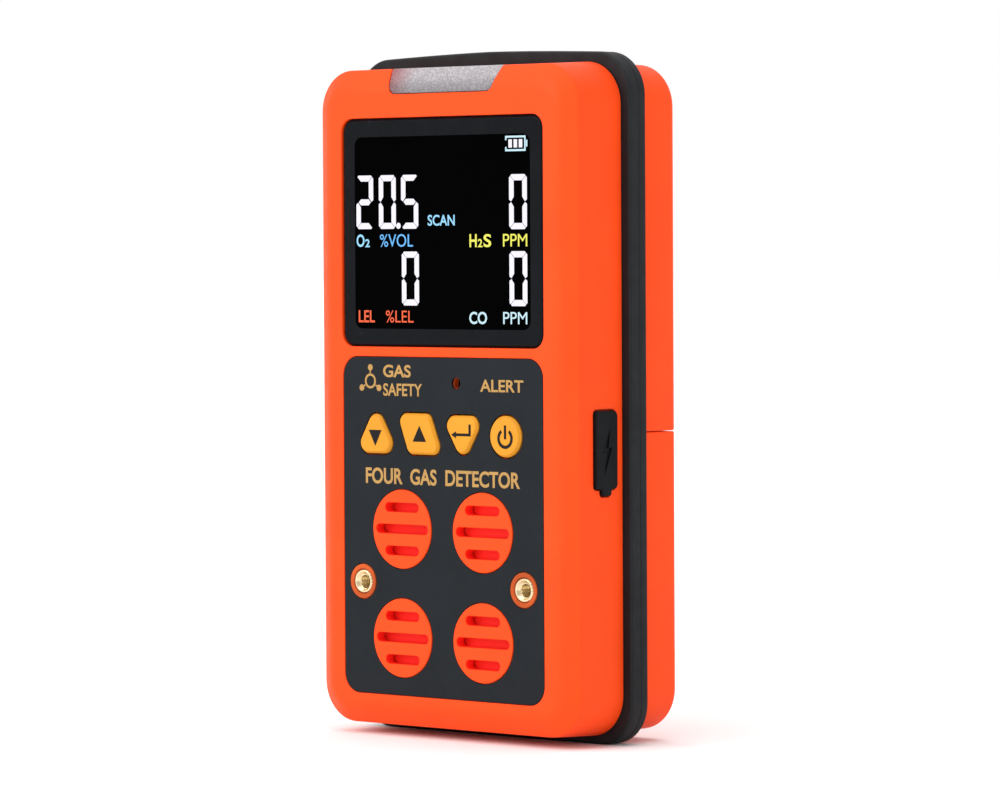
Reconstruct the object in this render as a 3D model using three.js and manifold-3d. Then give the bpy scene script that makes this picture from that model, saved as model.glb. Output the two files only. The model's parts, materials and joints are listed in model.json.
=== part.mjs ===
// Hand-held four-gas detector: two moulded half shells clamped round a rubber bumper band.
// Millimetres. X is the width, Y runs from the front face to the back, Z is up.
// Every "depth" below is measured back from the front face; the last lines move the
// whole detector so that the origin is the middle of the band's flat bottom.
import * as THREE from 'three';
import { mergeVertices } from 'three/addons/utils/BufferGeometryUtils.js';
import Module from 'manifold-3d';

const wasm = await Module();
wasm.setup();

// ---- Driving dimensions -------------------------------------------------------------
const CREASE = { halfWidth: 34.2, low: 2.2, high: 132.6, radius: 8.1 }; // body outline
const BEVEL = [[0, 5.1], [0.3, 3.5], [1.95, 0.35], [2.3, 0]]; // [depth, inset] of the front bevel
const JOINT_FLARE = 0.3; // how far the shells widen towards the band
const GAP = 0.3; // clearance between neighbouring pieces
const BAND = { front: 14.6, back: 19.6, proud: 2.2, edge: 0.5, radius: 8.2 };
const BACK = 31; // depth of the rear face
const SPLIT = 61; // height of the seam between the rear shell and the battery cover
const FRONT_WALL = 2.2;
const SHELL_WALL = 1.9;
const CAVITY_CORNER = { depth: 4.4, inset: 6.2 }; // the slope behind the front bevel
// Insets of the rear shell's locating lip, and the depths where it starts and where it roots.
const TONGUE = { outer: 2.2, inner: 3.5, start: 12, root: 21 };

const WINDOW = { halfWidth: 26.75, low: 77.65, high: 122.8, radius: 2.7 };
const VIEW_AREA = { halfWidth: 23.7, low: 80.8, high: 119.5, radius: 1.8 };
const WINDOW_DEPTH = [0.3, 1.5];
const OVERLAY = { halfWidth: 26.57, low: 8.44, high: 75.52, radius: 3.8 };
const OVERLAY_DEPTH = [0.05, 0.45];

const VENT_X = 10.74;
const VENT_Z = [19.83, 41.44];
const VENT_RADIUS = 7.84;
const SLOTS = [[0, 14], [4.3, 9.1], [-4.3, 9.1]]; // [height above the middle, length]
const SLOT_HEIGHT = 1.9;
const INSERT = {
  x: 21.45, z: 30.69, ring: 3.45, radius: 2.4, bore: 1.25, depth: [0.1, 5.9],
  boss: 3.6, bossEnd: 6.8,
};
const BUZZER = { x: 3.83, z: 70.53, hole: 1.15, radius: 4.8 };

const KEY_DEPTH = [-0.55, 3.6];
const KEY_FLANGE = { depth: 2.8, grow: 0.9 };
const KEY_CLEARANCE = 0.35;
const KEYPAD = { halfWidth: 25.5, low: 53.4, high: 67.6, radius: 2 };
const SWITCH = { stem: 1.7, stemEnd: 7.3, bodyFront: 8, half: 3 };
const LIGHT = { low: 127.6, high: 135, lowHalf: 12.9, highHalf: 14.9, back: 9 };
const USB = { depth: [6.1, 12.6], low: 50.3, high: 65.55, wallX: 33.15, outerX: 34.9 };
const USB_NUB = { depth: [8, 10.5], low: 48.95 };
const USB_PORT = { depth: [7.8, 11], low: 53.8, high: 62, plugX: 32.3, inner: 30 };
const USB_SOCKET = { x: [24.8, 31.9], mouthX: 26.5, depth: [8.1, 10.4], z: [54.1, 61.7], wall: 0.4 };

const SENSOR = { radius: 10.2, depth: [5.2, 20.5] };
const MAIN_BOARD = { halfWidth: 29.4, low: 54, high: 128, depth: [10.9, 12.5] };
const SENSOR_BOARD = { halfWidth: 29.8, low: 6.5, high: 59, radius: 4, depth: [21.5, 23.1] };
const PARTITION = [23.6, 24.6];
const COVER_INNER = 29.1; // depth of the inside of the back wall
const CASE_SCREW = { x: 26.2, low: 10.5, high: 124.6, post: 3, pilot: 1.4, postEnd: 19 };
const CASE_WELL = { start: 19.4, upper: 4.2, lower: 3.4, seat: 23.9, sink: 2.9, hole: 1.5 };
const COVER_SCREW = { x: 16, z: 8, boss: 2.8, hole: 1.3, seat: 29.6, sink: 2.7 };
const COVER_HOOKS = [-15, 15];
const HOOK = { half: 2.5, depth: [26.4, 27.8], top: 64, root: 56 };
const LEDGE_END = 21.4; // depth of the rear shell's rim behind the band
const CROSS_WALL = 1.8; // thickness of the wall above the battery bay
const CLIP = {
  x: 12, low: 102.5, high: 121.5, plateBack: 33.1, ear: 2, pivotDepth: 36.4, pivotZ: 112,
  pin: 1.2, bore: 1.5, hub: 2.6, hubInner: 4.2, screwHole: 1.3,
};
const CLIP_SCREW_Z = [106.3, 117.7];
const COIL = { outer: 2.3, inner: 1.6, half: 3.8 };
const BATTERY = { halfWidth: 23, low: 14, high: 55, radius: 2, depth: [24.9, 28.8] };

// ---- Materials ----------------------------------------------------------------------
function finish(color, roughness, metalness = 0, opacity = 1) {
  return new THREE.MeshStandardMaterial({
    color, roughness, metalness, opacity, transparent: opacity < 1,
  });
}
const orangePlastic = finish(0xf4511e, 0.5);
const blackRubber = finish(0x232629, 0.75);
const slateFilm = finish(0x2d3237, 0.55);
const blackLens = finish(0x0a0b0d, 0.1);
const clearLens = finish(0xd8d2d2, 0.3, 0, 0.6);
const amberKey = finish(0xf5b13a, 0.5);
const brass = finish(0xcdb26a, 0.3, 1);
const steel = finish(0xb8babd, 0.3, 1);
const boardGreen = finish(0x1f5a34, 0.5);
const blackPlastic = finish(0x1b1c1e, 0.5);
const whitePlastic = finish(0xe6e6e2, 0.5);
const greyFoam = finish(0x55585c, 0.9);
const membraneWhite = finish(0xf2f2ee, 0.8);
const batteryWrap = finish(0x2f5f9e, 0.4);

// ---- Shape helpers ------------------------------------------------------------------
// The body outline moved inwards by `inset`, and taller by `tall` at each end.
function bodyOutline(inset, tall = 0) {
  return {
    halfWidth: CREASE.halfWidth - inset,
    low: CREASE.low + inset - tall,
    high: CREASE.high - inset + tall,
    radius: Math.max(CREASE.radius - inset, 1),
  };
}

// A named rectangle grown on all four sides.
function grown(rect, amount) {
  return {
    halfWidth: rect.halfWidth + amount,
    low: rect.low - amount,
    high: rect.high + amount,
    radius: rect.radius + amount,
  };
}

// Points round a rounded rectangle, anticlockwise seen from the front.
function ringPoints({ halfWidth, low, high, radius }, steps = 5) {
  const centres = [
    [halfWidth - radius, low + radius],
    [halfWidth - radius, high - radius],
    [-halfWidth + radius, high - radius],
    [-halfWidth + radius, low + radius],
  ];
  const points = [];
  centres.forEach(([x, z], corner) => {
    for (let step = 0; step <= steps; step += 1) {
      const angle = (corner - 1 + step / steps) * Math.PI / 2;
      points.push(new THREE.Vector2(x + radius * Math.cos(angle), z + radius * Math.sin(angle)));
    }
  });
  return points;
}

// A closed skin through equal rings of points, one ring at each depth, with flat ends.
function loft(depths, rings) {
  const count = rings[0].length;
  const positions = [];
  rings.forEach((ring, level) => {
    ring.forEach((point) => positions.push(point.x, depths[level], point.y));
  });
  const index = [];
  for (let level = 0; level + 1 < rings.length; level += 1) {
    for (let i = 0; i < count; i += 1) {
      const a = level * count + i;
      const b = level * count + (i + 1) % count;
      index.push(a, b + count, b, a, a + count, b + count);
    }
  }
  const last = (rings.length - 1) * count;
  THREE.ShapeUtils.triangulateShape(rings[0], []).forEach(([a, b, c]) => {
    index.push(a, b, c, last + a, last + c, last + b);
  });
  const geometry = new THREE.BufferGeometry();
  geometry.setAttribute('position', new THREE.Float32BufferAttribute(positions, 3));
  geometry.setIndex(index);
  return geometry;
}

// The same, from a list of [depth, inset, tall] levels of the body outline.
function bodyLoft(levels) {
  const rings = levels.map(([, inset, tall]) => ringPoints(bodyOutline(inset, tall)));
  return solid(loft(levels.map(([depth]) => depth), rings));
}

// A flat shape in X and Z given thickness from one depth to another.
function slab(shape, from, to, curveSegments = 5) {
  const options = { depth: to - from, bevelEnabled: false, curveSegments };
  return solid(new THREE.ExtrudeGeometry(shape, options).rotateX(Math.PI / 2).translate(0, to, 0));
}

function plate(rect, from, to) {
  return slab(new THREE.Shape(ringPoints(rect, 4)), from, to);
}

function block([x0, x1], [y0, y1], [z0, z1]) {
  const box = new THREE.BoxGeometry(x1 - x0, y1 - y0, z1 - z0);
  return solid(box.translate((x0 + x1) / 2, (y0 + y1) / 2, (z0 + z1) / 2));
}

// A round bar along the depth axis.
function bar(x, z, radius, from, to, sides = 16) {
  const rod = new THREE.CylinderGeometry(radius, radius, to - from, sides);
  return solid(rod.translate(x, (from + to) / 2, z));
}

// A round bar along the width axis.
function crossBar(depth, z, radius, from, to, sides = 16) {
  const rod = new THREE.CylinderGeometry(radius, radius, to - from, sides).rotateZ(Math.PI / 2);
  return solid(rod.translate((from + to) / 2, depth, z));
}

// A profile of [radius, depth] points turned about an axis through (x, z).
function turned(x, z, profile, sides = 16) {
  const points = profile.map(([radius, depth]) => new THREE.Vector2(radius, depth));
  return solid(new THREE.LatheGeometry(points, sides).translate(x, 0, z));
}

// An outline in depth and height given width from x = from to x = to.
function profileAcross(points, from, to) {
  const shape = new THREE.Shape(points.map(([depth, z]) => new THREE.Vector2(depth, z)));
  const geometry = new THREE.ExtrudeGeometry(shape, { depth: to - from, bevelEnabled: false });
  geometry.rotateX(Math.PI / 2).rotateZ(Math.PI / 2);
  return solid(geometry.translate(from, 0, 0));
}

// A polygon whose corners are rounded, the curve starting `reach` from each corner.
function softPolygon(corners, reach) {
  const points = corners.map(([x, z]) => new THREE.Vector2(x, z));
  const towards = (from, to) => from.clone().add(to.clone().sub(from).setLength(reach));
  const shape = new THREE.Shape();
  points.forEach((corner, i) => {
    const start = towards(corner, points.at(i - 1));
    const end = towards(corner, points[(i + 1) % points.length]);
    if (i === 0) {
      shape.moveTo(start.x, start.y);
    } else {
      shape.lineTo(start.x, start.y);
    }
    shape.quadraticCurveTo(corner.x, corner.y, end.x, end.y);
  });
  return shape.closePath();
}

// The same outline, pushed out by about `amount` all round its own middle.
function spread(shape, amount) {
  const points = shape.getPoints(shape.curves.length > 1 ? 3 : 8);
  const box = new THREE.Box2().setFromPoints(points);
  const middle = box.getCenter(new THREE.Vector2());
  const half = box.getSize(new THREE.Vector2()).multiplyScalar(0.5);
  const factor = new THREE.Vector2(1 + amount / half.x, 1 + amount / half.y);
  return new THREE.Shape(points.map((p) => p.clone().sub(middle).multiply(factor).add(middle)));
}

// A closed mesh as a solid, with shared corners merged and its faces pointing out.
function solid(geometry) {
  geometry.deleteAttribute('normal');
  geometry.deleteAttribute('uv');
  const merged = mergeVertices(geometry, 1e-4);
  const triangles = [];
  const source = merged.index.array;
  for (let i = 0; i < source.length; i += 3) {
    const [a, b, c] = source.slice(i, i + 3);
    if (a !== b && b !== c && c !== a) {
      triangles.push([a, b, c]);
    }
  }
  const corner = (i) => new THREE.Vector3().fromBufferAttribute(merged.attributes.position, i);
  const volume = triangles.reduce(
    (sum, [a, b, c]) => sum + corner(a).dot(corner(b).cross(corner(c))), 0);
  const facingOut = volume < 0 ? triangles.map(([a, b, c]) => [a, c, b]) : triangles;
  return new wasm.Manifold(new wasm.Mesh({
    numProp: 3,
    vertProperties: new Float32Array(merged.attributes.position.array),
    triVerts: new Uint32Array(facingOut.flat()),
  }));
}

function join(...solids) {
  return solids.reduce((whole, next) => whole.add(next));
}

function cut(body, ...tools) {
  return tools.reduce((whole, next) => whole.subtract(next), body);
}

// The same piece on the left and on the right.
function bothSides(make) {
  return join(make(-1), make(1));
}

const detector = new THREE.Group();

function place(name, body, material) {
  const mesh = body.getMesh();
  const geometry = new THREE.BufferGeometry();
  geometry.setAttribute('position', new THREE.BufferAttribute(mesh.vertProperties, 3));
  geometry.setIndex(new THREE.BufferAttribute(mesh.triVerts, 1));
  geometry.computeVertexNormals();
  const piece = new THREE.Mesh(geometry, material);
  piece.name = name;
  detector.add(piece);
}

// ---- Keys, switches and keypad ------------------------------------------------------
const KEYS = {
  down: softPolygon([[-23.8, 56.3], [-11.6, 56.3], [-17.7, 66.1]], 4.2),
  up: softPolygon([[-8.9, 56.3], [0.3, 56.3], [-3, 64.5], [-12.1, 64.5]], 2.4),
  enter: softPolygon([[5.6, 54.8], [11.5, 64.3], [-0.3, 64.3]], 4.2),
  power: new THREE.Shape().absarc(17, 60.4, 4.1, 0, 2 * Math.PI),
};

function shapeMiddle(shape) {
  return new THREE.Box2().setFromPoints(shape.getPoints(8)).getCenter(new THREE.Vector2());
}

function keyOpenings(grow, from, to) {
  return join(...Object.values(KEYS).map((shape) => slab(spread(shape, grow), from, to)));
}

function addKeys() {
  Object.entries(KEYS).forEach(([name, shape]) => {
    const middle = shapeMiddle(shape);
    const cap = slab(spread(shape, 0), KEY_DEPTH[0] + 0.4, KEY_DEPTH[1]);
    const crown = slab(spread(shape, -0.4), KEY_DEPTH[0], KEY_DEPTH[0] + 0.5);
    const flange = slab(spread(shape, KEY_FLANGE.grow), KEY_FLANGE.depth, KEY_DEPTH[1]);
    place(`key_${name}`, join(cap, crown, flange), amberKey);
    const { stem, stemEnd, bodyFront, half } = SWITCH;
    const plunger = bar(middle.x, middle.y, stem, KEY_DEPTH[1] + GAP, stemEnd, 12);
    place(`switch_plunger_${name}`, plunger, whitePlastic);
    const body = block([middle.x - half, middle.x + half],
      [bodyFront, MAIN_BOARD.depth[0] - GAP], [middle.y - half, middle.y + half]);
    place(`switch_body_${name}`, body, blackPlastic);
  });
  const sheet = plate(KEYPAD, KEY_FLANGE.depth, KEY_DEPTH[1]);
  place('keypad_web', cut(sheet, keyOpenings(KEY_FLANGE.grow + 0.4, 2, 5)), amberKey);
}

// ---- Sensor ports -------------------------------------------------------------------
function atVents(make) {
  return VENT_Z.flatMap((z) => [-VENT_X, VENT_X].map((x) => make(x, z)));
}

function slotShape(x, z, length, height) {
  const run = (length - height) / 2;
  const shape = new THREE.Shape();
  shape.absarc(x + run, z, height / 2, -Math.PI / 2, Math.PI / 2);
  shape.absarc(x - run, z, height / 2, Math.PI / 2, 1.5 * Math.PI);
  return shape.closePath();
}

function ventSlots(from, to) {
  return join(...atVents((x, z) => join(...SLOTS.map(
    ([rise, length]) => slab(slotShape(x, z + rise, length, SLOT_HEIGHT), from, to, 2)))));
}

function insertBars(radius, from, to) {
  return bothSides((side) => bar(side * INSERT.x, INSERT.z, radius, from, to));
}

// ---- Housing ------------------------------------------------------------------------
function frontBody() {
  return bodyLoft([...BEVEL, [BAND.front - GAP, -JOINT_FLARE, JOINT_FLARE]]);
}

function frontCavity() {
  return bodyLoft([
    [FRONT_WALL, CAVITY_CORNER.inset], [CAVITY_CORNER.depth, SHELL_WALL + 0.2],
    [BAND.front + 1, SHELL_WALL],
  ]);
}

function lightBlock(grow) {
  const { low, high, lowHalf, highHalf, back } = LIGHT;
  const shape = new THREE.Shape([
    new THREE.Vector2(-lowHalf - grow, low - grow),
    new THREE.Vector2(lowHalf + grow, low - grow),
    new THREE.Vector2(highHalf + grow, high),
    new THREE.Vector2(-highHalf - grow, high),
  ]);
  return slab(shape, -1, back + grow);
}

function caseScrewPosts(radius, from, to, heights = [CASE_SCREW.low, CASE_SCREW.high]) {
  return join(...heights.map((z) => bothSides(
    (side) => bar(side * CASE_SCREW.x, z, radius, from, to, 16))));
}

function usbRecess() {
  const { depth, low, high, wallX } = USB;
  const main = block([wallX, 36], [depth[0] - GAP, depth[1] + GAP], [low - GAP, high + GAP]);
  const nub = block([wallX, 36], [USB_NUB.depth[0] - GAP, USB_NUB.depth[1] + GAP],
    [USB_NUB.low - GAP, low]);
  const port = block([USB_PORT.inner, 36], USB_PORT.depth, [USB_PORT.low, USB_PORT.high]);
  return join(main, nub, port);
}

function addFrontShell() {
  const hollow = cut(frontBody(), frontCavity());
  const inWall = FRONT_WALL - 0.7;
  const posts = join(caseScrewPosts(CASE_SCREW.post, inWall, CASE_SCREW.postEnd),
    insertBars(INSERT.boss, inWall, INSERT.bossEnd));
  const islands = join(
    ...atVents((x, z) => bar(x, z, VENT_RADIUS, -2, 3, 24)),
    insertBars(INSERT.ring, -2, 3),
  );
  const overlayPocket = cut(plate(grown(OVERLAY, GAP), -1, OVERLAY_DEPTH[1] + GAP), islands);
  place('front_shell', cut(
    join(hollow, posts),
    caseScrewPosts(CASE_SCREW.pilot, 8, CASE_SCREW.postEnd + 1),
    insertBars(INSERT.radius + GAP, -1, INSERT.bossEnd + 1),
    overlayPocket,
    plate(grown(WINDOW, GAP), -1, WINDOW_DEPTH[1] + GAP),
    plate(VIEW_AREA, -1, 4),
    ventSlots(-1, FRONT_WALL + 1),
    keyOpenings(KEY_CLEARANCE, -1, 4),
    bar(BUZZER.x, BUZZER.z, BUZZER.hole, -1, 4, 12),
    lightBlock(GAP),
    usbRecess(),
  ), orangePlastic);
}

function addBand() {
  const { front, back, proud, edge, radius } = BAND;
  const levels = [
    [front, edge - proud], [front + edge, -proud], [back - edge, -proud], [back, edge - proud],
  ];
  const rings = levels.map(([, inset]) => ringPoints({ ...bodyOutline(inset), radius }));
  const outside = solid(loft(levels.map(([depth]) => depth), rings));
  const inside = bodyLoft([[front - 1, SHELL_WALL], [back + 1, SHELL_WALL]]);
  place('bumper_band', cut(outside, inside), blackRubber);
}

function rearBody() {
  return bodyLoft([
    [BAND.back + GAP, -JOINT_FLARE], [BACK - 1.6, -JOINT_FLARE], [BACK - 0.5, 0.15], [BACK, 1.2],
  ]);
}

function rearCavity() {
  return bodyLoft([[BAND.back - 1, SHELL_WALL], [COVER_INNER, SHELL_WALL + 0.3]]);
}

function tongue(to) {
  const { outer, inner, start } = TONGUE;
  return cut(bodyLoft([[start, outer], [to, outer]]),
    bodyLoft([[start - 1, inner], [to + 1, inner]]));
}

function hooks(grow, from) {
  return join(...COVER_HOOKS.map((x) => block(
    [x - HOOK.half - grow, x + HOOK.half + grow],
    [HOOK.depth[0] - grow, HOOK.depth[1] + grow], [from, HOOK.top + grow])));
}

function addRearShell() {
  const everywhere = [-60, 60];
  const wallTop = SPLIT + CROSS_WALL;
  const upperBlock = block(everywhere, [0, 50], [SPLIT + GAP / 2, 140]);
  const lowerBlock = block(everywhere, [0, 50], [0, wallTop]);
  const tray = cut(rearBody(), rearCavity()).intersect(upperBlock);
  const crossWall = rearBody().intersect(upperBlock).intersect(lowerBlock);
  const rim = bodyLoft([[BAND.back + GAP, -JOINT_FLARE], [LEDGE_END, -JOINT_FLARE]]);
  const ledge = cut(rim, bodyLoft([[10, TONGUE.inner], [30, TONGUE.inner]]))
    .intersect(upperBlock);
  const lowerTongue = tongue(PARTITION[1]).intersect(lowerBlock);
  const floor = bodyLoft(PARTITION.map((depth) => [depth, TONGUE.outer])).intersect(lowerBlock);
  const backWall = COVER_INNER + 0.5;
  const clipBosses = join(...CLIP_SCREW_Z.map((z) => bar(0, z, COVER_SCREW.boss, 26, backWall)));
  const coverBosses = bothSides((side) => bar(
    side * COVER_SCREW.x, COVER_SCREW.z, COVER_SCREW.boss, PARTITION[0], 28));
  const { start, upper, lower, seat, sink, hole } = CASE_WELL;
  place('rear_shell', cut(
    join(tray, crossWall, ledge, tongue(TONGUE.root), lowerTongue, floor,
      caseScrewPosts(upper, start, backWall, [CASE_SCREW.high]),
      caseScrewPosts(lower, start, 24, [CASE_SCREW.low]), clipBosses, coverBosses),
    caseScrewPosts(hole, start - 0.4, 25),
    caseScrewPosts(sink, seat, BACK + 1, [CASE_SCREW.high]),
    join(...CLIP_SCREW_Z.map((z) => bar(0, z, CLIP.screwHole, 26.5, BACK + 1, 12))),
    bothSides((side) => bar(side * COVER_SCREW.x, COVER_SCREW.z, COVER_SCREW.hole, 25.2, 29, 12)),
    hooks(GAP, SPLIT),
  ), orangePlastic);
}

function addBatteryCover() {
  const lower = [0, SPLIT - GAP / 2];
  const tray = cut(rearBody(), rearCavity()).intersect(block([-60, 60], [0, 50], lower));
  const hookRoots = join(...COVER_HOOKS.map((x) => block(
    [x - HOOK.half, x + HOOK.half], [HOOK.depth[0], COVER_INNER + 0.5], [HOOK.root, lower[1]])));
  const { x, z, hole, seat, sink } = COVER_SCREW;
  place('battery_cover', cut(
    join(tray, hookRoots, hooks(0, lower[1] - 0.5)),
    bothSides((side) => bar(side * x, z, hole, 28, BACK + 1, 12)),
    bothSides((side) => bar(side * x, z, sink, seat, BACK + 1)),
  ), orangePlastic);
}

// ---- Front face pieces --------------------------------------------------------------
function addFrontTrim() {
  const [filmFront, filmBack] = OVERLAY_DEPTH;
  place('front_overlay', cut(
    plate(OVERLAY, filmFront, filmBack),
    ...atVents((x, z) => bar(x, z, VENT_RADIUS + GAP, -1, 2, 24)),
    insertBars(INSERT.ring + GAP, -1, 2),
    keyOpenings(KEY_CLEARANCE, -1, 2),
    bar(BUZZER.x, BUZZER.z, BUZZER.hole, -1, 2, 12),
  ), slateFilm);
  place('display_window', plate(WINDOW, ...WINDOW_DEPTH), blackLens);
  const lens = cut(frontBody().intersect(lightBlock(0)), frontCavity());
  place('alarm_light_lens', lens, clearLens);
  [['left', -1], ['right', 1]].forEach(([name, side]) => {
    const { radius, bore, depth, x, z } = INSERT;
    const section = [[bore, depth[0]], [radius, depth[0]], [radius, depth[1]],
      [bore, depth[1]], [bore, depth[0]]];
    place(`threaded_insert_${name}`, turned(side * x, z, section), brass);
  });
}

function addUsb() {
  const { depth, low, high, wallX, outerX } = USB;
  const skin = wallX + GAP;
  const pad = block([skin, outerX], depth, [low, high]);
  const nub = block([skin, outerX], USB_NUB.depth, [USB_NUB.low, low + 1]);
  const plug = block([USB_PORT.plugX, skin + 0.5],
    [USB_PORT.depth[0] + GAP, USB_PORT.depth[1] - GAP],
    [USB_PORT.low + GAP, USB_PORT.high - GAP]);
  place('usb_cover', join(pad, nub, plug), blackRubber);
  const { x, mouthX, depth: [front, back], z: [foot, top], wall } = USB_SOCKET;
  const mouth = block([mouthX, x[1] + 1], [front + wall, back - wall], [foot + wall, top - wall]);
  place('usb_socket', cut(block(x, [front, back], [foot, top]), mouth), steel);
}

// ---- Display, boards and what they carry --------------------------------------------
function addDisplay() {
  const foam = { halfWidth: 25.2, low: 79.2, high: 121, radius: 1 };
  place('lcd_gasket', cut(plate(foam, 2.5, 3.2), plate(VIEW_AREA, 2, 4)), greyFoam);
  const glass = { halfWidth: 24.6, low: 79.6, high: 120.8, radius: 0.6 };
  place('lcd_module', plate(glass, 3.5, 6.3), blackPlastic);
  const opening = { halfWidth: 21, low: 84, high: 117, radius: 1 };
  place('lcd_bracket', cut(plate(foam, 6.6, 10.6), plate(opening, 6, 11)), whitePlastic);
  const ribbon = [
    [5.4, 79.3], [5.4, 77.6], [10.6, 76.2], [10.6, 75.8], [10.5, 75.8], [5, 77.3], [5, 79.3],
  ];
  place('lcd_flex', profileAcross(ribbon, -14, -2), amberKey);
}

function addBoards() {
  const [front, back] = MAIN_BOARD.depth;
  const main = block([-MAIN_BOARD.halfWidth, MAIN_BOARD.halfWidth], MAIN_BOARD.depth,
    [MAIN_BOARD.low, MAIN_BOARD.high]);
  const chips = join(
    block([-6, 6], [back - 0.1, back + 1.4], [92, 104]),
    block([12, 19], [back - 0.1, back + 1.2], [84, 91]),
    block([-22, -14], [back - 0.1, back + 1.8], [72, 78]),
  );
  const corner = CASE_SCREW.x - 3.5;
  const cornerNotches = join(block([corner, 40], [5, 15], [121, 140]),
    block([-40, -corner], [5, 15], [121, 140]));
  place('main_board', cut(join(main, chips), cornerNotches), boardGreen);
  const sensorBoard = plate(SENSOR_BOARD, ...SENSOR_BOARD.depth);
  place('sensor_board', cut(sensorBoard, caseScrewPosts(3.8, 19, 25)), boardGreen);
  place('board_header', block([-12, 12], [back + GAP, SENSOR_BOARD.depth[0] - GAP],
    [54.7, 57.2]), blackPlastic);
  place('buzzer', bar(BUZZER.x, BUZZER.z, BUZZER.radius, 4.6, front - GAP, 20), blackPlastic);
  [['left', -6.5], ['right', 6.5]].forEach(([name, x]) => {
    const base = block([x - 2.5, x + 2.5], [9.2, front - GAP], [122.5, 127.5]);
    place(`alarm_led_${name}`, join(base, bar(x, 125, 1.9, 8.2, 9.5, 12)), whitePlastic);
  });
}

function addVibrator() {
  const depth = 16.1;
  const z = 115;
  const can = crossBar(depth, z, 3.2, -20, -8);
  place('vibration_motor', cut(can, crossBar(depth, z, 0.8, -10, -7, 10)), steel);
  const shaft = crossBar(depth, z, 0.5, -9.6, -4.8, 8);
  const halfDisc = crossBar(depth, z, 2.8, -7.4, -5)
    .intersect(block([-9, 0], [depth - 4, depth + 4], [z - 4, z + 0.6]));
  place('vibration_weight', join(shaft, halfDisc), brass);
}

// ---- Gas sensors and their stack ----------------------------------------------------
function addSensors() {
  const names = ['o2', 'h2s', 'co', 'lel'];
  const notches = insertBars(4, 1, 8);
  const tray = { halfWidth: 20.4, low: 9.4, high: 51.9, radius: 6 };
  const baffles = join(...atVents((x, z) => join(...[-2.15, 2.15].map(
    (rise) => slab(slotShape(x, z + rise, 11, 1.4), 1, 5, 2)))));
  const retainerDepth = [FRONT_WALL + GAP, 3.7];
  place('sensor_retainer', cut(plate(tray, ...retainerDepth), notches, baffles), orangePlastic);
  const gasketDepth = [4, 4.9];
  place('sensor_gasket', cut(
    plate({ ...tray, halfWidth: 21.2 }, ...gasketDepth), notches,
    ...atVents((x, z) => bar(x, z, 8.9, 3, 6, 20))), greyFoam);
  const [front, back] = SENSOR.depth;
  const collar = [[0, front], [7.5, front], [7.5, front + 0.4], [SENSOR.radius, front + 0.4],
    [SENSOR.radius, back], [0, back]];
  atVents((x, z) => [x, z]).forEach(([x, z], i) => {
    place(`sensor_filter_${names[i]}`, bar(x, z, 8.6, gasketDepth[0], 4.5, 20), membraneWhite);
    const pins = [0, 1, 2].map((n) => {
      const angle = Math.PI * (0.5 + n * 2 / 3);
      return bar(x + 6.7 * Math.cos(angle), z + 6.7 * Math.sin(angle), 0.75, back - 0.1, 21.2, 8);
    });
    place(`gas_sensor_${names[i]}`, join(turned(x, z, collar, 20), ...pins), whitePlastic);
  });
}

function addBattery() {
  place('battery_pack', plate(BATTERY, ...BATTERY.depth), batteryWrap);
  const plugFront = BATTERY.depth[0];
  place('battery_connector', block([24.4, 28.8], [plugFront, plugFront + 3], [40, 47]),
    whitePlastic);
}

// ---- Screws -------------------------------------------------------------------------
// A screw driven from the back: the head's seat and height, and the depth of its tip.
function screw(x, z, { seat, head, height, shank, tip }) {
  return turned(x, z, [
    [0, tip], [shank, tip], [shank, seat], [head, seat], [head, seat + height * 0.6],
    [head * 0.8, seat + height], [0, seat + height],
  ], 12);
}

function addScrews() {
  const seats = { [CASE_SCREW.low]: 24.9, [CASE_SCREW.high]: 24.2 };
  [['lower', CASE_SCREW.low], ['upper', CASE_SCREW.high]].forEach(([level, z]) => {
    [['left', -1], ['right', 1]].forEach(([sideName, side]) => {
      const size = { seat: seats[z], head: 2.5, height: 1.7, shank: 1.05, tip: 10 };
      place(`case_screw_${level}_${sideName}`, screw(side * CASE_SCREW.x, z, size), steel);
    });
  });
  [['left', -1], ['right', 1]].forEach(([sideName, side]) => {
    const size = { seat: 29.9, head: 2.3, height: 0.9, shank: 0.95, tip: 25.8 };
    place(`cover_screw_${sideName}`,
      screw(side * COVER_SCREW.x, COVER_SCREW.z, size), steel);
  });
  [['lower', CLIP_SCREW_Z[0]], ['upper', CLIP_SCREW_Z[1]]].forEach(([level, z]) => {
    const size = { seat: 33.4, head: 2.2, height: 1.2, shank: 1, tip: 27 };
    place(`clip_screw_${level}`, screw(0, z, size), steel);
  });
}

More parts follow.
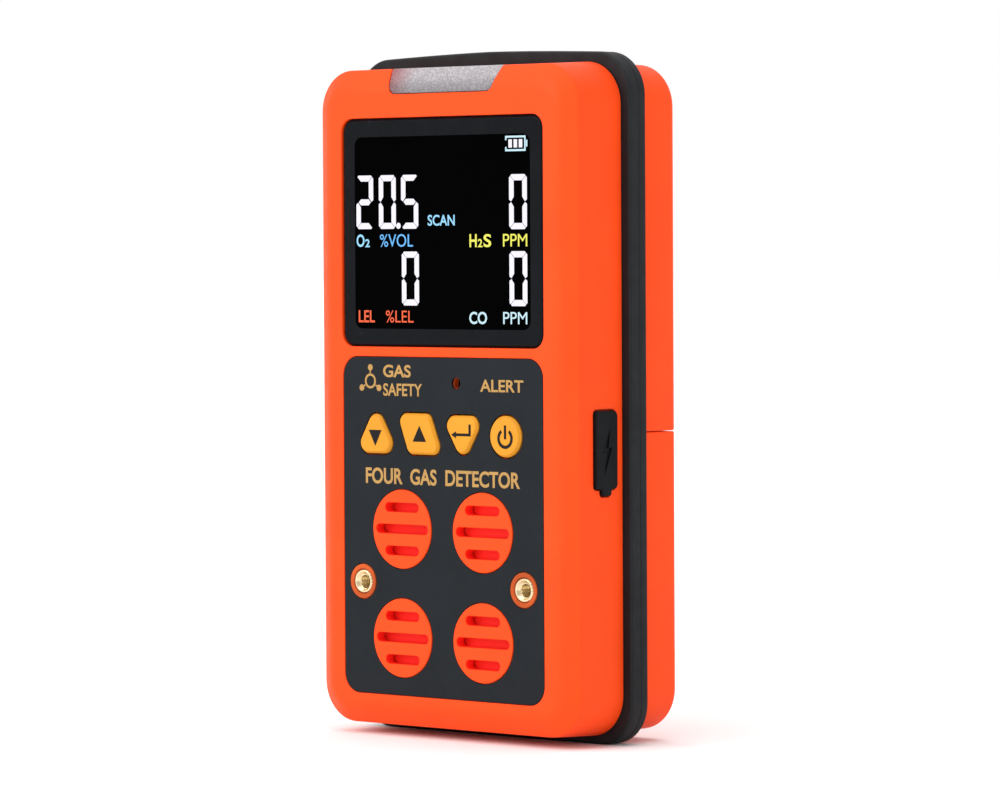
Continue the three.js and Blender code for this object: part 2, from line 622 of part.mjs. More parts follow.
// ---- Belt clip ----------------------------------------------------------------------
function addClip() {
  const { x, low, high, plateBack, ear: earThickness, pivotDepth, pivotZ, bore, hub } = CLIP;
  const footing = { halfWidth: x, low, high, radius: 2 };
  const ear = [[31.6, 104.5], [31.6, 119.5], [33, 119.5], [38.2, 114.6], [39.3, 112],
    [38.2, 109.4], [33, 104.5]];
  const ears = join(profileAcross(ear, -x, -x + earThickness),
    profileAcross(ear, x - earThickness, x));
  place('clip_bracket', cut(
    join(plate(footing, BACK + GAP, plateBack), ears),
    crossBar(pivotDepth, pivotZ, bore, -20, 20),
    ...CLIP_SCREW_Z.map((z) => bar(0, z, CLIP.screwHole, 30, 35, 12)),
  ), blackPlastic);

  const leverHalf = x - earThickness - 0.4;
  const arm = [
    [37.3, 122], [38.2, 118], [37.2, 114], [37.2, 80], [35.6, 76.6], [32.6, 75.4], [31.8, 74.4],
    [31.8, 73], [33.4, 73.2], [36.6, 74.6], [39, 78.4], [39.4, 84], [39.4, 116], [40.4, 119.6],
    [39.4, 122.4], [38, 122.8],
  ];
  const inner = CLIP.hubInner;
  const hubs = join(crossBar(pivotDepth, pivotZ, hub, -leverHalf, -inner),
    crossBar(pivotDepth, pivotZ, hub, inner, leverHalf));
  const springRoom = crossBar(pivotDepth, pivotZ, COIL.outer + 0.4, -inner, inner);
  place('clip_lever', cut(
    join(profileAcross(arm, -leverHalf, leverHalf), hubs),
    crossBar(pivotDepth, pivotZ, bore, -20, 20), springRoom,
  ), blackPlastic);
  place('clip_pin', crossBar(pivotDepth, pivotZ, CLIP.pin, -x, x), steel);
  const coil = cut(crossBar(pivotDepth, pivotZ, COIL.outer, -COIL.half, COIL.half),
    crossBar(pivotDepth, pivotZ, COIL.inner, -5, 5));
  place('clip_spring', coil, steel);
}

addFrontShell();
addBand();
addRearShell();
addBatteryCover();
addFrontTrim();
addKeys();
addUsb();
addDisplay();
addBoards();
addVibrator();
addSensors();
addBattery();
addScrews();
addClip();

// The origin is the middle of the band's flat bottom.
detector.position.y = -(BAND.front + BAND.back) / 2;

export default detector;
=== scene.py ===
"""A hand-held four-gas detector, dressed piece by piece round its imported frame.

Shapes are worked out in millimetres. X is the width, Z is up, and every "depth" is measured
back from the front face; a mesh is scaled to metres and moved to the frame when it is made.
"""
import json

import bmesh
import bpy
import numpy as np
from mathutils import Matrix, Vector
from mathutils.geometry import delaunay_2d_cdt


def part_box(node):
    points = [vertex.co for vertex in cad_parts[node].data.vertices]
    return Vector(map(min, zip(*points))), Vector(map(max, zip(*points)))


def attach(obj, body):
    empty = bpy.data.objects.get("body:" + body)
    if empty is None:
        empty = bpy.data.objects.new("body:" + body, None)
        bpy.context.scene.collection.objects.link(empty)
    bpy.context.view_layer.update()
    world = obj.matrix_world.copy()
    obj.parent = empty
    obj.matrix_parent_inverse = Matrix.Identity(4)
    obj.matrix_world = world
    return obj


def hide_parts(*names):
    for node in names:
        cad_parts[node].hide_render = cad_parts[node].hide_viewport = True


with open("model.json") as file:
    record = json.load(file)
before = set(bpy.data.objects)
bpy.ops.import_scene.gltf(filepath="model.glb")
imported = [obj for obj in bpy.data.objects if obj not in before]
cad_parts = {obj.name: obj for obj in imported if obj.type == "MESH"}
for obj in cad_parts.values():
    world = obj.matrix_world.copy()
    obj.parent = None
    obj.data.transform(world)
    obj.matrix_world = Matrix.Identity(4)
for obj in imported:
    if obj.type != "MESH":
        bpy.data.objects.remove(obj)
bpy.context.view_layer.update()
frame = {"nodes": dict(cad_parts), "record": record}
MM = 0.001


def span(node):
    """The lowest and highest corner of a frame node, in millimetres."""
    low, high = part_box(node)
    return np.array(low) / MM, np.array(high) / MM


FRONT = span("front_shell")[0][1]  # where the front face lies on the Y axis

# --- Camera, floor and light -----------------------------------------------------------
# The view looks a little down on the front and the right-hand wall, through a long lens.
# A broad lamp on the left, a weak one on the right and a wide overhead light, in a white
# studio that darkens to the right, give soft light with a deeper side wall.
LENS = 176.57
YAW, PITCH, ROLL = np.radians([42.03, 1.83, -0.31])
TARGET = Vector((15.54, FRONT, 67.5)) * MM
DISTANCE = 0.9531


def linked(name, data):
    """A new object that holds the data, put into the scene."""
    holder = bpy.data.objects.new(name, data)
    bpy.context.collection.objects.link(holder)
    return holder


camera = linked("camera", bpy.data.cameras.new("camera"))
camera.data.lens = LENS
camera.data.sensor_width = 36
back = Vector((np.sin(YAW) * np.cos(PITCH), -np.cos(YAW) * np.cos(PITCH), np.sin(PITCH)))
right = Vector((np.cos(YAW), np.sin(YAW), 0))
level_up = back.cross(right)
rolled_right = right * np.cos(ROLL) + level_up * np.sin(ROLL)
rolled_up = level_up * np.cos(ROLL) - right * np.sin(ROLL)
camera.rotation_euler = Matrix((rolled_right, rolled_up, back)).transposed().to_euler()
camera.location = TARGET + back * DISTANCE
bpy.context.scene.camera = camera
bpy.context.scene.view_settings.view_transform = "Standard"


def lamp(name, place, size, watts):
    """A square soft light at a place in metres, aimed at the middle of the detector."""
    light = bpy.data.lights.new(name, "AREA")
    light.size = size
    light.energy = watts
    holder = linked(name, light)
    holder.location = place
    aim = Vector((0, 0, 0.07)) - Vector(place)
    holder.rotation_euler = aim.to_track_quat("-Z", "Y").to_euler()


def ranged(tree, source, low, high, to_low, to_high):
    """Maps a value's stretch low..high onto to_low..to_high, and holds it outside."""
    node = tree.nodes.new("ShaderNodeMapRange")
    for socket, value in zip(("From Min", "From Max", "To Min", "To Max"),
                             (low, high, to_low, to_high)):
        node.inputs[socket].default_value = value
    tree.links.new(source, node.inputs["Value"])
    return node.outputs["Result"]


lamp("lamp_left", (-0.55, -1.3, 0.75), 0.8, 9.5)
lamp("lamp_right", (1.4, -0.35, 0.55), 0.9, 4)
overhead = bpy.data.lights.new("overhead", "SUN")
overhead.energy = 1.3
overhead.angle = 1.2
linked("overhead", overhead)
DIM_SIDE = 0.42  # strength of the white on the right, against 1 on the left
world = bpy.data.worlds.new("studio")
bpy.context.scene.world = world
world.use_nodes = True
studio = world.node_tree
background = studio.nodes["Background"]
background.inputs["Color"].default_value = (1, 1, 1, 1)
heading = studio.nodes.new("ShaderNodeTexCoord")
rightwards = studio.nodes.new("ShaderNodeSeparateXYZ")
studio.links.new(heading.outputs["Generated"], rightwards.inputs["Vector"])
strength = ranged(studio, rightwards.outputs["X"], 0.1, 0.9, 1.0, DIM_SIDE)
studio.links.new(strength, background.inputs["Strength"])

FLOOR_RADIUS = 12.0
angles = np.linspace(0, 2 * np.pi, 64, endpoint=False)
floor_mesh = bpy.data.meshes.new("floor")
floor_mesh.from_pydata(
    (FLOOR_RADIUS * np.stack([np.cos(angles), np.sin(angles), 0 * angles], 1)).tolist(),
    [], [list(range(len(angles)))])
paper = bpy.data.materials.new("white_paper")
paper.use_nodes = True
shader = paper.node_tree.nodes["Principled BSDF"]
shader.inputs["Base Color"].default_value = (0.9, 0.9, 0.9, 1)
shader.inputs["Roughness"].default_value = 0.9
floor_mesh.materials.append(paper)
linked("floor", floor_mesh)

# --- Front shell -------------------------------------------------------------------------
# The front half of the case: injection-moulded orange plastic with a spark-eroded grain.
# The convex bevel, pockets, gas ports and screw posts are one moulding, 2.2 mm thick.
CREASE_HALF, CREASE_LOW, CREASE_HIGH, CREASE_RADIUS = 34.2, 2.2, 132.6, 8.1
SLOPE = np.radians(32.5)  # of the bevel, down from the front face
BEVEL_DROP = 2.3
FLAT_EDGE = BEVEL_DROP / np.tan(SLOPE)  # inset where the slope would meet the front face
WALL_DEPTH = 2.2
BAND_LOW, BAND_HIGH = span("bumper_band")
BAND_FRONT = BAND_LOW[1] - FRONT
BAND_BACK = BAND_HIGH[1] - FRONT
WINDOW = (26.75, 77.65, 122.8, 2.7)  # half width, low, high, corner radius
VIEW_AREA = (23.4, 81.11, 119.16, 1.8)
OVERLAY = (26.57, 8.44, 75.52, 3.8)
VENTS = [(x, z) for z in (19.83, 41.44) for x in (-10.74, 10.74)]
VENT_RADIUS = 7.84
SLOTS = [(0, 14.0), (4.3, 9.1), (-4.3, 9.1)]  # rise above the port's middle, length
SLOT_HEIGHT = 1.9
INSERT_X, INSERT_Z, INSERT_RING = 21.45, 30.69, 3.45
SOUND_HOLE = (3.83, 70.53, 1.15)
KEY_CORNERS = {
    "down": ([(-23.5, 56.3), (-11.6, 56.3), (-17.6, 66.3)], 2.15),
    "up": ([(-8.8, 56.3), (0.3, 56.3), (-3.0, 64.5), (-11.9, 64.5)], 1.75),
    "enter": ([(5.7, 54.7), (11.5, 64.3), (-0.15, 64.3)], 2.1),
}
POWER_KEY = (17.0, 60.4, 4.1)
KEY_CLEARANCE = 0.22
POCKET_FIT = np.array([0.12, -0.12, 0.12, 0.12])  # play round the window and the film
INSERT_BORE, BOSS_RADIUS, BOSS_END = 2.48, 3.6, 6.8
POST_RADIUS, POST_END, PILOT_RADIUS, PILOT_END = 3.0, 19, 1.4, 8
CASE_SCREWS = [(x, z) for z in (10.5, 124.6) for x in (-26.2, 26.2)]


def rounded(points, radii, steps=8, closed=True):
    """A polygon with arcs at its corners: an arc of radius r starts r times the tangent of
    half the turn before its corner, and each of its points is the centre plus the start arm
    turned by an even share of the turn."""
    points = np.asarray(points, float)
    radii = np.broadcast_to(radii, len(points))
    rows = []
    for i, corner in enumerate(points):
        if radii[i] <= 0 or (not closed and i in (0, len(points) - 1)):
            rows.append(corner[None])
            continue
        into = corner - points[i - 1]
        out = points[(i + 1) % len(points)] - corner
        into, out = into / np.hypot(*into), out / np.hypot(*out)
        turn = np.arctan2(into[0] * out[1] - into[1] * out[0], into @ out)
        side = np.sign(turn)
        start = corner - into * radii[i] * np.tan(abs(turn) / 2)
        arm = -side * radii[i] * np.array([-into[1], into[0]])
        angle = np.linspace(0, turn, steps + 1)
        spin = np.stack([np.cos(angle), -np.sin(angle), np.sin(angle), np.cos(angle)], 1)
        rows.append(start - arm + spin.reshape(-1, 2, 2) @ arm)
    return np.concatenate(rows)


def box_loop(half, low, high, radius, steps=10):
    """A box with round corners, centred on X, anticlockwise from its lower left corner."""
    return rounded([(-half, low), (half, low), (half, high), (-half, high)], radius, steps)


def circle(x, z, radius, steps=48):
    """The centre plus a turning arm, anticlockwise."""
    turn = np.linspace(0, 2 * np.pi, steps, endpoint=False)
    return np.stack([x + radius * np.cos(turn), z + radius * np.sin(turn)], 1)


def slot_loop(x, z, length, height):
    """A bar with half-round ends."""
    half, side = length / 2, height / 2
    corners = [(x - half, z - side), (x + half, z - side), (x + half, z + side),
               (x - half, z + side)]
    return rounded(corners, side * 0.999)


def pushed(loop, distance):
    """Every point moved out along the mean of its two edges' normals, so that both edges
    move out by the distance."""
    edge = np.roll(loop, -1, 0) - loop
    length = np.hypot(edge[:, 0], edge[:, 1])[:, None]
    normal = np.stack([edge[:, 1], -edge[:, 0]], 1) / np.maximum(length, 1e-9)
    before = np.roll(normal, 1, 0)
    mean = normal + before
    return loop + distance * mean / np.maximum((mean * before).sum(1)[:, None], 0.2)


def body_loop(inset, tall=0.0):
    """The case outline moved in by the inset, and stretched up and down by tall."""
    radius = max(CREASE_RADIUS - inset, 0.8)
    return box_loop(CREASE_HALF - inset, CREASE_LOW + inset - tall,
                    CREASE_HIGH - inset + tall, radius, 14)


def inside(points, loop):
    """Even-odd rule: a point is inside when a ray to the right crosses an odd number of
    the loop's edges."""
    a, b = loop, np.roll(loop, -1, 0)
    px, pz = points[:, None, 0], points[:, None, 1]
    crosses = (a[None, :, 1] > pz) != (b[None, :, 1] > pz)
    rise = np.where(b[:, 1] == a[:, 1], 1e-12, b[:, 1] - a[:, 1])
    at = a[None, :, 0] + (pz - a[None, :, 1]) / rise * (b - a)[None, :, 0]
    return (crosses & (px < at)).sum(1) % 2 == 1


def weld(mesh, reach):
    """Merges points closer than the reach in metres, and turns the faces outwards."""
    work = bmesh.new()
    work.from_mesh(mesh)
    bmesh.ops.remove_doubles(work, verts=work.verts, dist=reach)
    bmesh.ops.dissolve_degenerate(work, edges=work.edges, dist=1e-7)
    bmesh.ops.recalc_face_normals(work, faces=work.faces)
    work.to_mesh(mesh)
    work.free()


class Skin:
    """Rings of points and the faces between them, gathered and then welded into one closed
    mesh. A flat loop (u, v) at a level w becomes (u, w, v), or (w, u, v) for work along X."""

    def __init__(self, along="depth"):
        self.along = along
        self.points = []
        self.faces = []
        self.slots = []
        self.total = 0

    def lift(self, loop, level):
        level = np.broadcast_to(level, len(loop))
        if self.along == "depth":
            return np.stack([loop[:, 0], level, loop[:, 1]], 1)
        return np.stack([level, loop[:, 0], loop[:, 1]], 1)

    def add(self, points, faces, slot=0):
        self.points.append(points)
        self.faces += (np.asarray(faces) + self.total).tolist()
        self.slots += [slot] * len(faces)
        self.total += len(points)

    def grid(self, rings, slot=0, round_u=True, round_v=False):
        """Quads over a stack of equal rings: corner (i, j) joins (i, j+1), (i+1, j+1) and
        (i+1, j), wrapping round where asked."""
        rings = np.asarray(rings)
        rows, columns = rings.shape[:2]
        i = np.arange(rows if round_v else rows - 1)[:, None]
        j = np.arange(columns if round_u else columns - 1)[None]
        i2, j2 = (i + 1) % rows, (j + 1) % columns
        quads = np.stack(np.broadcast_arrays(i * columns + j, i * columns + j2,
                                             i2 * columns + j2, i2 * columns + j), -1)
        self.add(rings.reshape(-1, 3), quads.reshape(-1, 4), slot)

    def wall(self, loop, profile, slot=0):
        """A profile of (level, push) carried round a loop."""
        self.grid([self.lift(pushed(loop, push), level) for level, push in profile], slot)

    def flat(self, level, outer, holes=(), slot=0):
        """A flat face inside the outer loop and outside the holes: constrained Delaunay
        triangles, kept where their middles lie inside an odd number of loops."""
        loops = [outer, *holes]
        points = np.concatenate(loops)
        edges = []
        start = 0
        for loop in loops:
            ring = np.arange(len(loop))
            edges += np.stack([start + ring, start + (ring + 1) % len(loop)], 1).tolist()
            start += len(loop)
        verts, _, faces, *_ = delaunay_2d_cdt(list(map(Vector, points)), edges, [], 0, 1e-7)
        verts, faces = np.array(verts), np.array(faces)
        middle = verts[faces].mean(1)
        crossed = sum(inside(middle, loop).astype(int) for loop in loops)
        keep = inside(middle, outer) & (crossed == 1)
        self.add(self.lift(verts, level), faces[keep], slot)

    def prism(self, loop, front, back, slot=0):
        self.wall(loop, [(front, 0), (back, 0)], slot)
        self.flat(front, loop, slot=slot)
        self.flat(back, loop, slot=slot)

    def build(self, name, materials, smooth=30.0):
        """Welds the doubles, turns the faces outwards, and marks an edge sharp where its
        faces turn by more than the given angle."""
        points = np.concatenate(self.points)
        points = (points + [0, FRONT, 0]) * MM
        mesh = bpy.data.meshes.new(name)
        mesh.from_pydata(points.tolist(), [], self.faces)
        for material in materials:
            mesh.materials.append(material)
        mesh.polygons.foreach_set("material_index", self.slots)
        weld(mesh, 2e-6)
        mesh.shade_smooth()
        mesh.set_sharp_from_angle(angle=np.radians(smooth))
        return linked(name, mesh)


def carve(piece, cutter, operation="DIFFERENCE"):
    """Cuts one solid by another, or joins them, and throws the other away."""
    modifier = piece.modifiers.new("cut", "BOOLEAN")
    modifier.object = cutter
    modifier.operation = operation
    modifier.solver = "EXACT"
    shape = bpy.data.meshes.new_from_object(
        piece.evaluated_get(bpy.context.evaluated_depsgraph_get()))
    piece.modifiers.clear()
    piece.data = shape
    bpy.data.objects.remove(cutter)
    shape.shade_smooth()
    shape.set_sharp_from_angle(angle=np.radians(30))


def finish(name, colour, roughness, *, metal=0.0, grain=0.0, grain_size=0.25, mottle=0.06,
           gloss=0.5, spread=0.05, wear=None):
    """A moulded or worked surface: a fine grain raised by a noise of the given size in
    millimetres, a slow drift of colour, a broken roughness, and scattered rub marks."""
    material = bpy.data.materials.new(name)
    material.use_nodes = True
    tree = material.node_tree
    nodes, links = tree.nodes, tree.links
    shader = nodes["Principled BSDF"]
    shader.inputs["Metallic"].default_value = metal
    shader.inputs["Specular IOR Level"].default_value = gloss
    place = nodes.new("ShaderNodeTexCoord")

    def noise(size, detail):
        texture = nodes.new("ShaderNodeTexNoise")
        texture.inputs["Scale"].default_value = 1 / (size * MM)
        texture.inputs["Detail"].default_value = detail
        links.new(place.outputs["Object"], texture.inputs["Vector"])
        return texture.outputs["Fac"]

    def mixed(factor, first, second):
        node = nodes.new("ShaderNodeMix")
        node.data_type = "RGBA"
        links.new(factor, node.inputs["Factor"])
        for socket, value in ((node.inputs[6], first), (node.inputs[7], second)):
            if isinstance(value, tuple):
                socket.default_value = (*value, 1)
            else:
                links.new(value, socket)
        return node.outputs[2]

    dark = tuple(c * (1 - mottle) for c in colour)
    light = tuple(min(1.0, c * (1 + mottle)) for c in colour)
    tint = mixed(ranged(tree, noise(14, 3), 0.35, 0.65, 0, 1), dark, light)
    matt = ranged(tree, noise(3, 4), 0.3, 0.7, roughness - spread, roughness + spread)
    if wear:
        marks = ranged(tree, noise(5.5, 6), 0.66, 0.70, 0, 0.55)
        tint = mixed(marks, tint, wear)
    links.new(tint, shader.inputs["Base Color"])
    links.new(matt, shader.inputs["Roughness"])
    if grain:
        bump = nodes.new("ShaderNodeBump")
        bump.inputs["Strength"].default_value = 1.0
        bump.inputs["Distance"].default_value = grain * MM
        links.new(noise(grain_size, 2), bump.inputs["Height"])
        links.new(bump.outputs["Normal"], shader.inputs["Normal"])
    return material


orange = finish("moulded_orange", (0.95, 0.069, 0.0068), 0.5, grain=0.014, grain_size=0.5,
                mottle=0.035, gloss=0.14)
painted_slot_light_orange = finish("orange_painted_slot_light", (0.98, 0.022, 0.012), 0.55, grain=0.014,
                     grain_size=0.5, mottle=0.05, gloss=0.2)  # painted light: a redder copy of the orange, where light gathers in the slots
ring_orange_and_hole_shade = finish("orange_insert_rings_and_painted_hole_shade", (0.50, 0.085, 0.018), 0.7, grain=0.03,
                      grain_size=0.3, mottle=0.2, gloss=0.12)  # darker and rougher, for the insert rings; in the sound hole it is painted shade


def key_loop(name, push=0.0):
    """The outline of a key, pushed out by a distance."""
    if name == "power":
        x, z, radius = POWER_KEY
        return circle(x, z, radius + push)
    corners, radius = KEY_CORNERS[name]
    return pushed(rounded(corners, radius, 10), push)


KEY_NAMES = [*KEY_CORNERS, "power"]
LIP = 0.18  # rounding of the moulded rims


def rim(level, radius, steps=5):
    """(level, push) points of a quarter round that turns from a flat face into a hole:
    a short flat run first, so that the face stays flat in the light."""
    turn = np.linspace(0, np.pi / 2, steps)
    arc = zip(level + radius * (1 - np.cos(turn)), radius * (1 - np.sin(turn)))
    return [(level, radius + 0.06), *arc]


shell = Skin()
window_pocket = box_loop(*(np.array(WINDOW) + POCKET_FIT))
overlay_pocket = box_loop(*(np.array(OVERLAY) + POCKET_FIT))
view_hole = box_loop(23.8, 80.7, 119.6, 1.8)
vent_loops = [circle(x, z, VENT_RADIUS, 72) for x, z in VENTS]
slot_loops = [[slot_loop(x, z + rise, length, SLOT_HEIGHT) for rise, length in SLOTS]
              for x, z in VENTS]
insert_spots = [(-INSERT_X, INSERT_Z), (INSERT_X, INSERT_Z)]
ring_loops = [circle(x, z, INSERT_RING, 48) for x, z in insert_spots]
key_holes = [key_loop(name, KEY_CLEARANCE) for name in KEY_NAMES]
sound_hole = circle(*SOUND_HOLE, 24)

# Outside skin: the flat, the convex bevel, the crease, the wall, the rim and the inside.
SHELL_END = BAND_FRONT - 0.12
outer_profile = rounded(
    [(FLAT_EDGE + 2.1, 0), (FLAT_EDGE, 0), (0, BEVEL_DROP), (-0.3, SHELL_END), (1.9, SHELL_END),
     (2.0, 4.4), (4.8, WALL_DEPTH)],
    [0, 5.0, 0.55, 0.25, 0.1, 1.5, 0], steps=9, closed=False)
drift = np.clip((outer_profile[:, 1] - BEVEL_DROP) / (SHELL_END - BEVEL_DROP), 0, 1)
shell.grid([shell.lift(body_loop(inset, tall), depth)
            for (inset, depth), tall in zip(outer_profile, 0.3 * drift)])
FLOOR_OF_FILM, FLOOR_OF_WINDOW = 0.62, 1.65
rim_out = rim(0, LIP)
shell.flat(0, body_loop(outer_profile[0, 0]),
           [pushed(window_pocket, rim_out[0][1]), pushed(overlay_pocket, rim_out[0][1])])
shell.wall(window_pocket, rim_out + [(FLOOR_OF_WINDOW, 0)])
shell.wall(overlay_pocket, rim_out + [(FLOOR_OF_FILM, 0)])
shell.flat(FLOOR_OF_WINDOW, window_pocket, [view_hole])
shell.wall(view_hole, [(FLOOR_OF_WINDOW, 0), (WALL_DEPTH, 0)])
shell.flat(FLOOR_OF_FILM, overlay_pocket, [*vent_loops, *ring_loops, *key_holes, sound_hole])
PORT_TOP = -0.12
island = [(FLOOR_OF_FILM, 0)] + [(level, -push) for level, push in rim(PORT_TOP, LIP)[:0:-1]]
island.append((PORT_TOP, -LIP - 0.06))
for vent, slots in zip(vent_loops, slot_loops):
    shell.wall(vent, island)
    slot_rim = rim(PORT_TOP, 0.14, steps=4)
    shell.flat(PORT_TOP, pushed(vent, island[-1][1]),
               [pushed(slot, slot_rim[0][1]) for slot in slots])
    for slot in slots:
        shell.wall(slot, slot_rim)
        # The slot walls deeper in take the redder copy of the orange: painted light gathered in
        # the slots.
        shell.wall(slot, [slot_rim[-1], (WALL_DEPTH, 0)], slot=1)
boss_loops = []
for (x, z), ring in zip(insert_spots, ring_loops):
    shell.wall(ring, island, slot=2)
    bore, boss = circle(x, z, INSERT_BORE, 40), circle(x, z, BOSS_RADIUS, 40)
    hole_rim = rim(PORT_TOP, 0.3, steps=4)
    shell.flat(PORT_TOP, pushed(ring, island[-1][1]), [pushed(bore, hole_rim[0][1])], slot=2)
    shell.wall(bore, hole_rim + [(BOSS_END, 0)], slot=2)
    shell.flat(BOSS_END, boss, [bore])
    shell.wall(boss, [(BOSS_END, 0), (WALL_DEPTH, 0)])
    boss_loops.append(boss)
for hole in key_holes:
    shell.wall(hole, [(FLOOR_OF_FILM, 0), (WALL_DEPTH, 0)])
# The sound hole's wall takes the darker orange as painted shade inside the hole.
shell.wall(sound_hole, [(FLOOR_OF_FILM, 0), (WALL_DEPTH, 0)], slot=2)
for x, z in CASE_SCREWS:
    post, pilot = circle(x, z, POST_RADIUS, 28), circle(x, z, PILOT_RADIUS, 28)
    shell.wall(post, [(WALL_DEPTH, 0), (POST_END, 0)])
    shell.flat(POST_END, post, [pilot])
    shell.wall(pilot, [(POST_END, 0), (PILOT_END, 0)])
    shell.flat(PILOT_END, pilot)
    boss_loops.append(post)
inner_slots = [slot for slots in slot_loops for slot in slots]
shell.flat(WALL_DEPTH, body_loop(outer_profile[-1, 0]),
           [view_hole, *key_holes, sound_hole, *inner_slots, *boss_loops])
front_shell = shell.build("front_shell_moulding", [orange, painted_slot_light_orange, ring_orange_and_hole_shade])

# The light cap's opening in the top bevel, and the socket's recess in the right-hand wall.
LIGHT_LOW, LIGHT_BACK = 127.6, 9.0
LIGHT_HALF = (13.4, 15.4)  # half width at the foot, and at LIGHT_REACH above it
LIGHT_REACH = 7.4
LIGHT_CORNER = 1.3


def light_solid(name, grow, lift, floor_push, material, edge=0.35):
    """A pad that follows the top bevel, from its foot over the crease to the back: each
    point is the profile's point at that length of travel, moved out by the lift. Its half
    width grows with height, its foot corners are round, and its border drops away by a
    quarter circle of the edge radius."""
    over = rounded([(CREASE_HIGH - LIGHT_LOW + grow, 0), (FLAT_EDGE, 0), (0, BEVEL_DROP),
                    (-0.1, LIGHT_BACK + grow)], [0, 4.6, 0.55, 0], steps=12, closed=False)
    run = np.concatenate([[0], np.cumsum(np.hypot(*np.diff(over, axis=0).T))])
    near = edge * (1 - np.cos(np.linspace(0, np.pi / 2, 7)))
    middle = np.linspace(near[-1] + 0.1, run[-1] - near[-1] - 0.1, 34)
    travel = np.concatenate([near, middle, run[-1] - near[::-1]])
    inset, depth = np.interp(travel, run, over[:, 0]), np.interp(travel, run, over[:, 1])
    tangent = np.gradient(np.stack([inset, depth], 1), travel, axis=0)
    tangent /= np.hypot(*tangent.T)[:, None]
    low_half, high_half = LIGHT_HALF
    rise = (CREASE_HIGH - inset - LIGHT_LOW) / LIGHT_REACH
    half = low_half + (high_half - low_half) * rise + grow
    short = np.clip(LIGHT_CORNER - travel, 0, LIGHT_CORNER)
    half -= LIGHT_CORNER - np.sqrt(LIGHT_CORNER ** 2 - short ** 2)
    x_near = half[:, None] - near[None]
    x = np.concatenate([-x_near, np.linspace(-1, 1, 25)[None] * (half[:, None] - edge - 0.1),
                        x_near[:, ::-1]], 1)
    to_side = half[:, None] - np.abs(x)
    to_end = np.minimum(travel, run[-1] - travel)[:, None]
    gap = np.clip(edge - np.minimum(to_side, to_end), 0, edge)
    drop = edge - np.sqrt(edge ** 2 - gap ** 2)

    def surface(height):
        height = np.broadcast_to(height, x.shape)
        normal_in = np.stack([-tangent[:, 1], tangent[:, 0]], 1)
        place_inset = inset[:, None] + height * normal_in[:, None, 0]
        place_depth = depth[:, None] + height * normal_in[:, None, 1]
        return np.stack([x, place_depth, CREASE_HIGH - place_inset], -1)

    pad = Skin()
    top, bottom = surface(lift - drop), surface(-floor_push)
    pad.grid(top, round_u=False)
    pad.grid(bottom, round_u=False)
    for first, second in ((top[0], bottom[0]), (top[-1], bottom[-1]),
                          (top[:, 0], bottom[:, 0]), (top[:, -1], bottom[:, -1])):
        pad.grid([first, second], round_u=False)
    return pad.build(name, [material])


USB_LOW, USB_HIGH = span("usb_cover")
SOCKET_FRONT, SOCKET_BACK = USB_LOW[1] - FRONT, USB_HIGH[1] - FRONT
SOCKET_TOP = USB_HIGH[2]
NUB_DEPTH, NUB_LOW, SOCKET_FOOT = (8.0, 10.5), USB_LOW[2], 50.3
RECESS_FLOOR, RECESS_MOUTH = 33.15, 36
RECESS_PLAY, RECESS_FLARE = 0.16, 0.36


def socket_outline():
    """The cover's outline in depth and height: a tall box with a pull tab at its foot."""
    return rounded(
        [(SOCKET_FRONT, SOCKET_FOOT), (NUB_DEPTH[0] - 0.2, SOCKET_FOOT), (NUB_DEPTH[0], NUB_LOW),
         (NUB_DEPTH[1], NUB_LOW), (NUB_DEPTH[1] + 0.2, SOCKET_FOOT),
         (SOCKET_BACK, SOCKET_FOOT), (SOCKET_BACK, SOCKET_TOP), (SOCKET_FRONT, SOCKET_TOP)],
        [0.6, 0.4, 0.45, 0.45, 0.4, 1.0, 1.3, 0.7], steps=6)


recess = Skin("x")
loop = socket_outline()
recess.wall(loop, [(RECESS_FLOOR, RECESS_PLAY), (34.0, RECESS_PLAY), (34.3, 0.22),
                   (34.6, RECESS_FLARE), (RECESS_MOUTH, RECESS_FLARE)])
recess.flat(RECESS_FLOOR, pushed(loop, RECESS_PLAY))
recess.flat(RECESS_MOUTH, pushed(loop, RECESS_FLARE))
carve(front_shell, recess.build("recess_cutter", [orange]))
port = Skin("x")
port.prism(rounded([(7.8, 53.8), (11.0, 53.8), (11.0, 62), (7.8, 62)], 0.5), 30, 33.6)
carve(front_shell, port.build("port_cutter", [orange]))
carve(front_shell, light_solid("light_cutter", 0.12, 0.6, 5.0, orange, edge=0.001))
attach(front_shell, "housing")
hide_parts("front_shell")

# --- Light cap ------------------------------------------------------------------------
# A frosted clear cap over the two alarm lamps, flush with the top bevel and wrapped over
# the crease. Its left end has a red cast, from the lamps below.
frosted = bpy.data.materials.new("frosted_cap")
frosted.use_nodes = True
tree = frosted.node_tree
nodes, links = tree.nodes, tree.links
shader = nodes["Principled BSDF"]
shader.inputs["Roughness"].default_value = 0.3
shader.inputs["IOR"].default_value = 1.49
shader.inputs["Transmission Weight"].default_value = 0.45
place = nodes.new("ShaderNodeTexCoord")
cells = nodes.new("ShaderNodeTexVoronoi")
cells.inputs["Scale"].default_value = 1 / (0.42 * MM)
ramp = nodes.new("ShaderNodeValToRGB")
ramp.color_ramp.elements[0].color = (0.20, 0.175, 0.185, 1)
ramp.color_ramp.elements[1].color = (0.50, 0.475, 0.50, 1)
ramp.color_ramp.elements[1].position = 0.75
split = nodes.new("ShaderNodeSeparateXYZ")
links.new(place.outputs["Object"], split.inputs["Vector"])
redness = ranged(tree, split.outputs["X"], -8 * MM, -14 * MM, 0, 1)
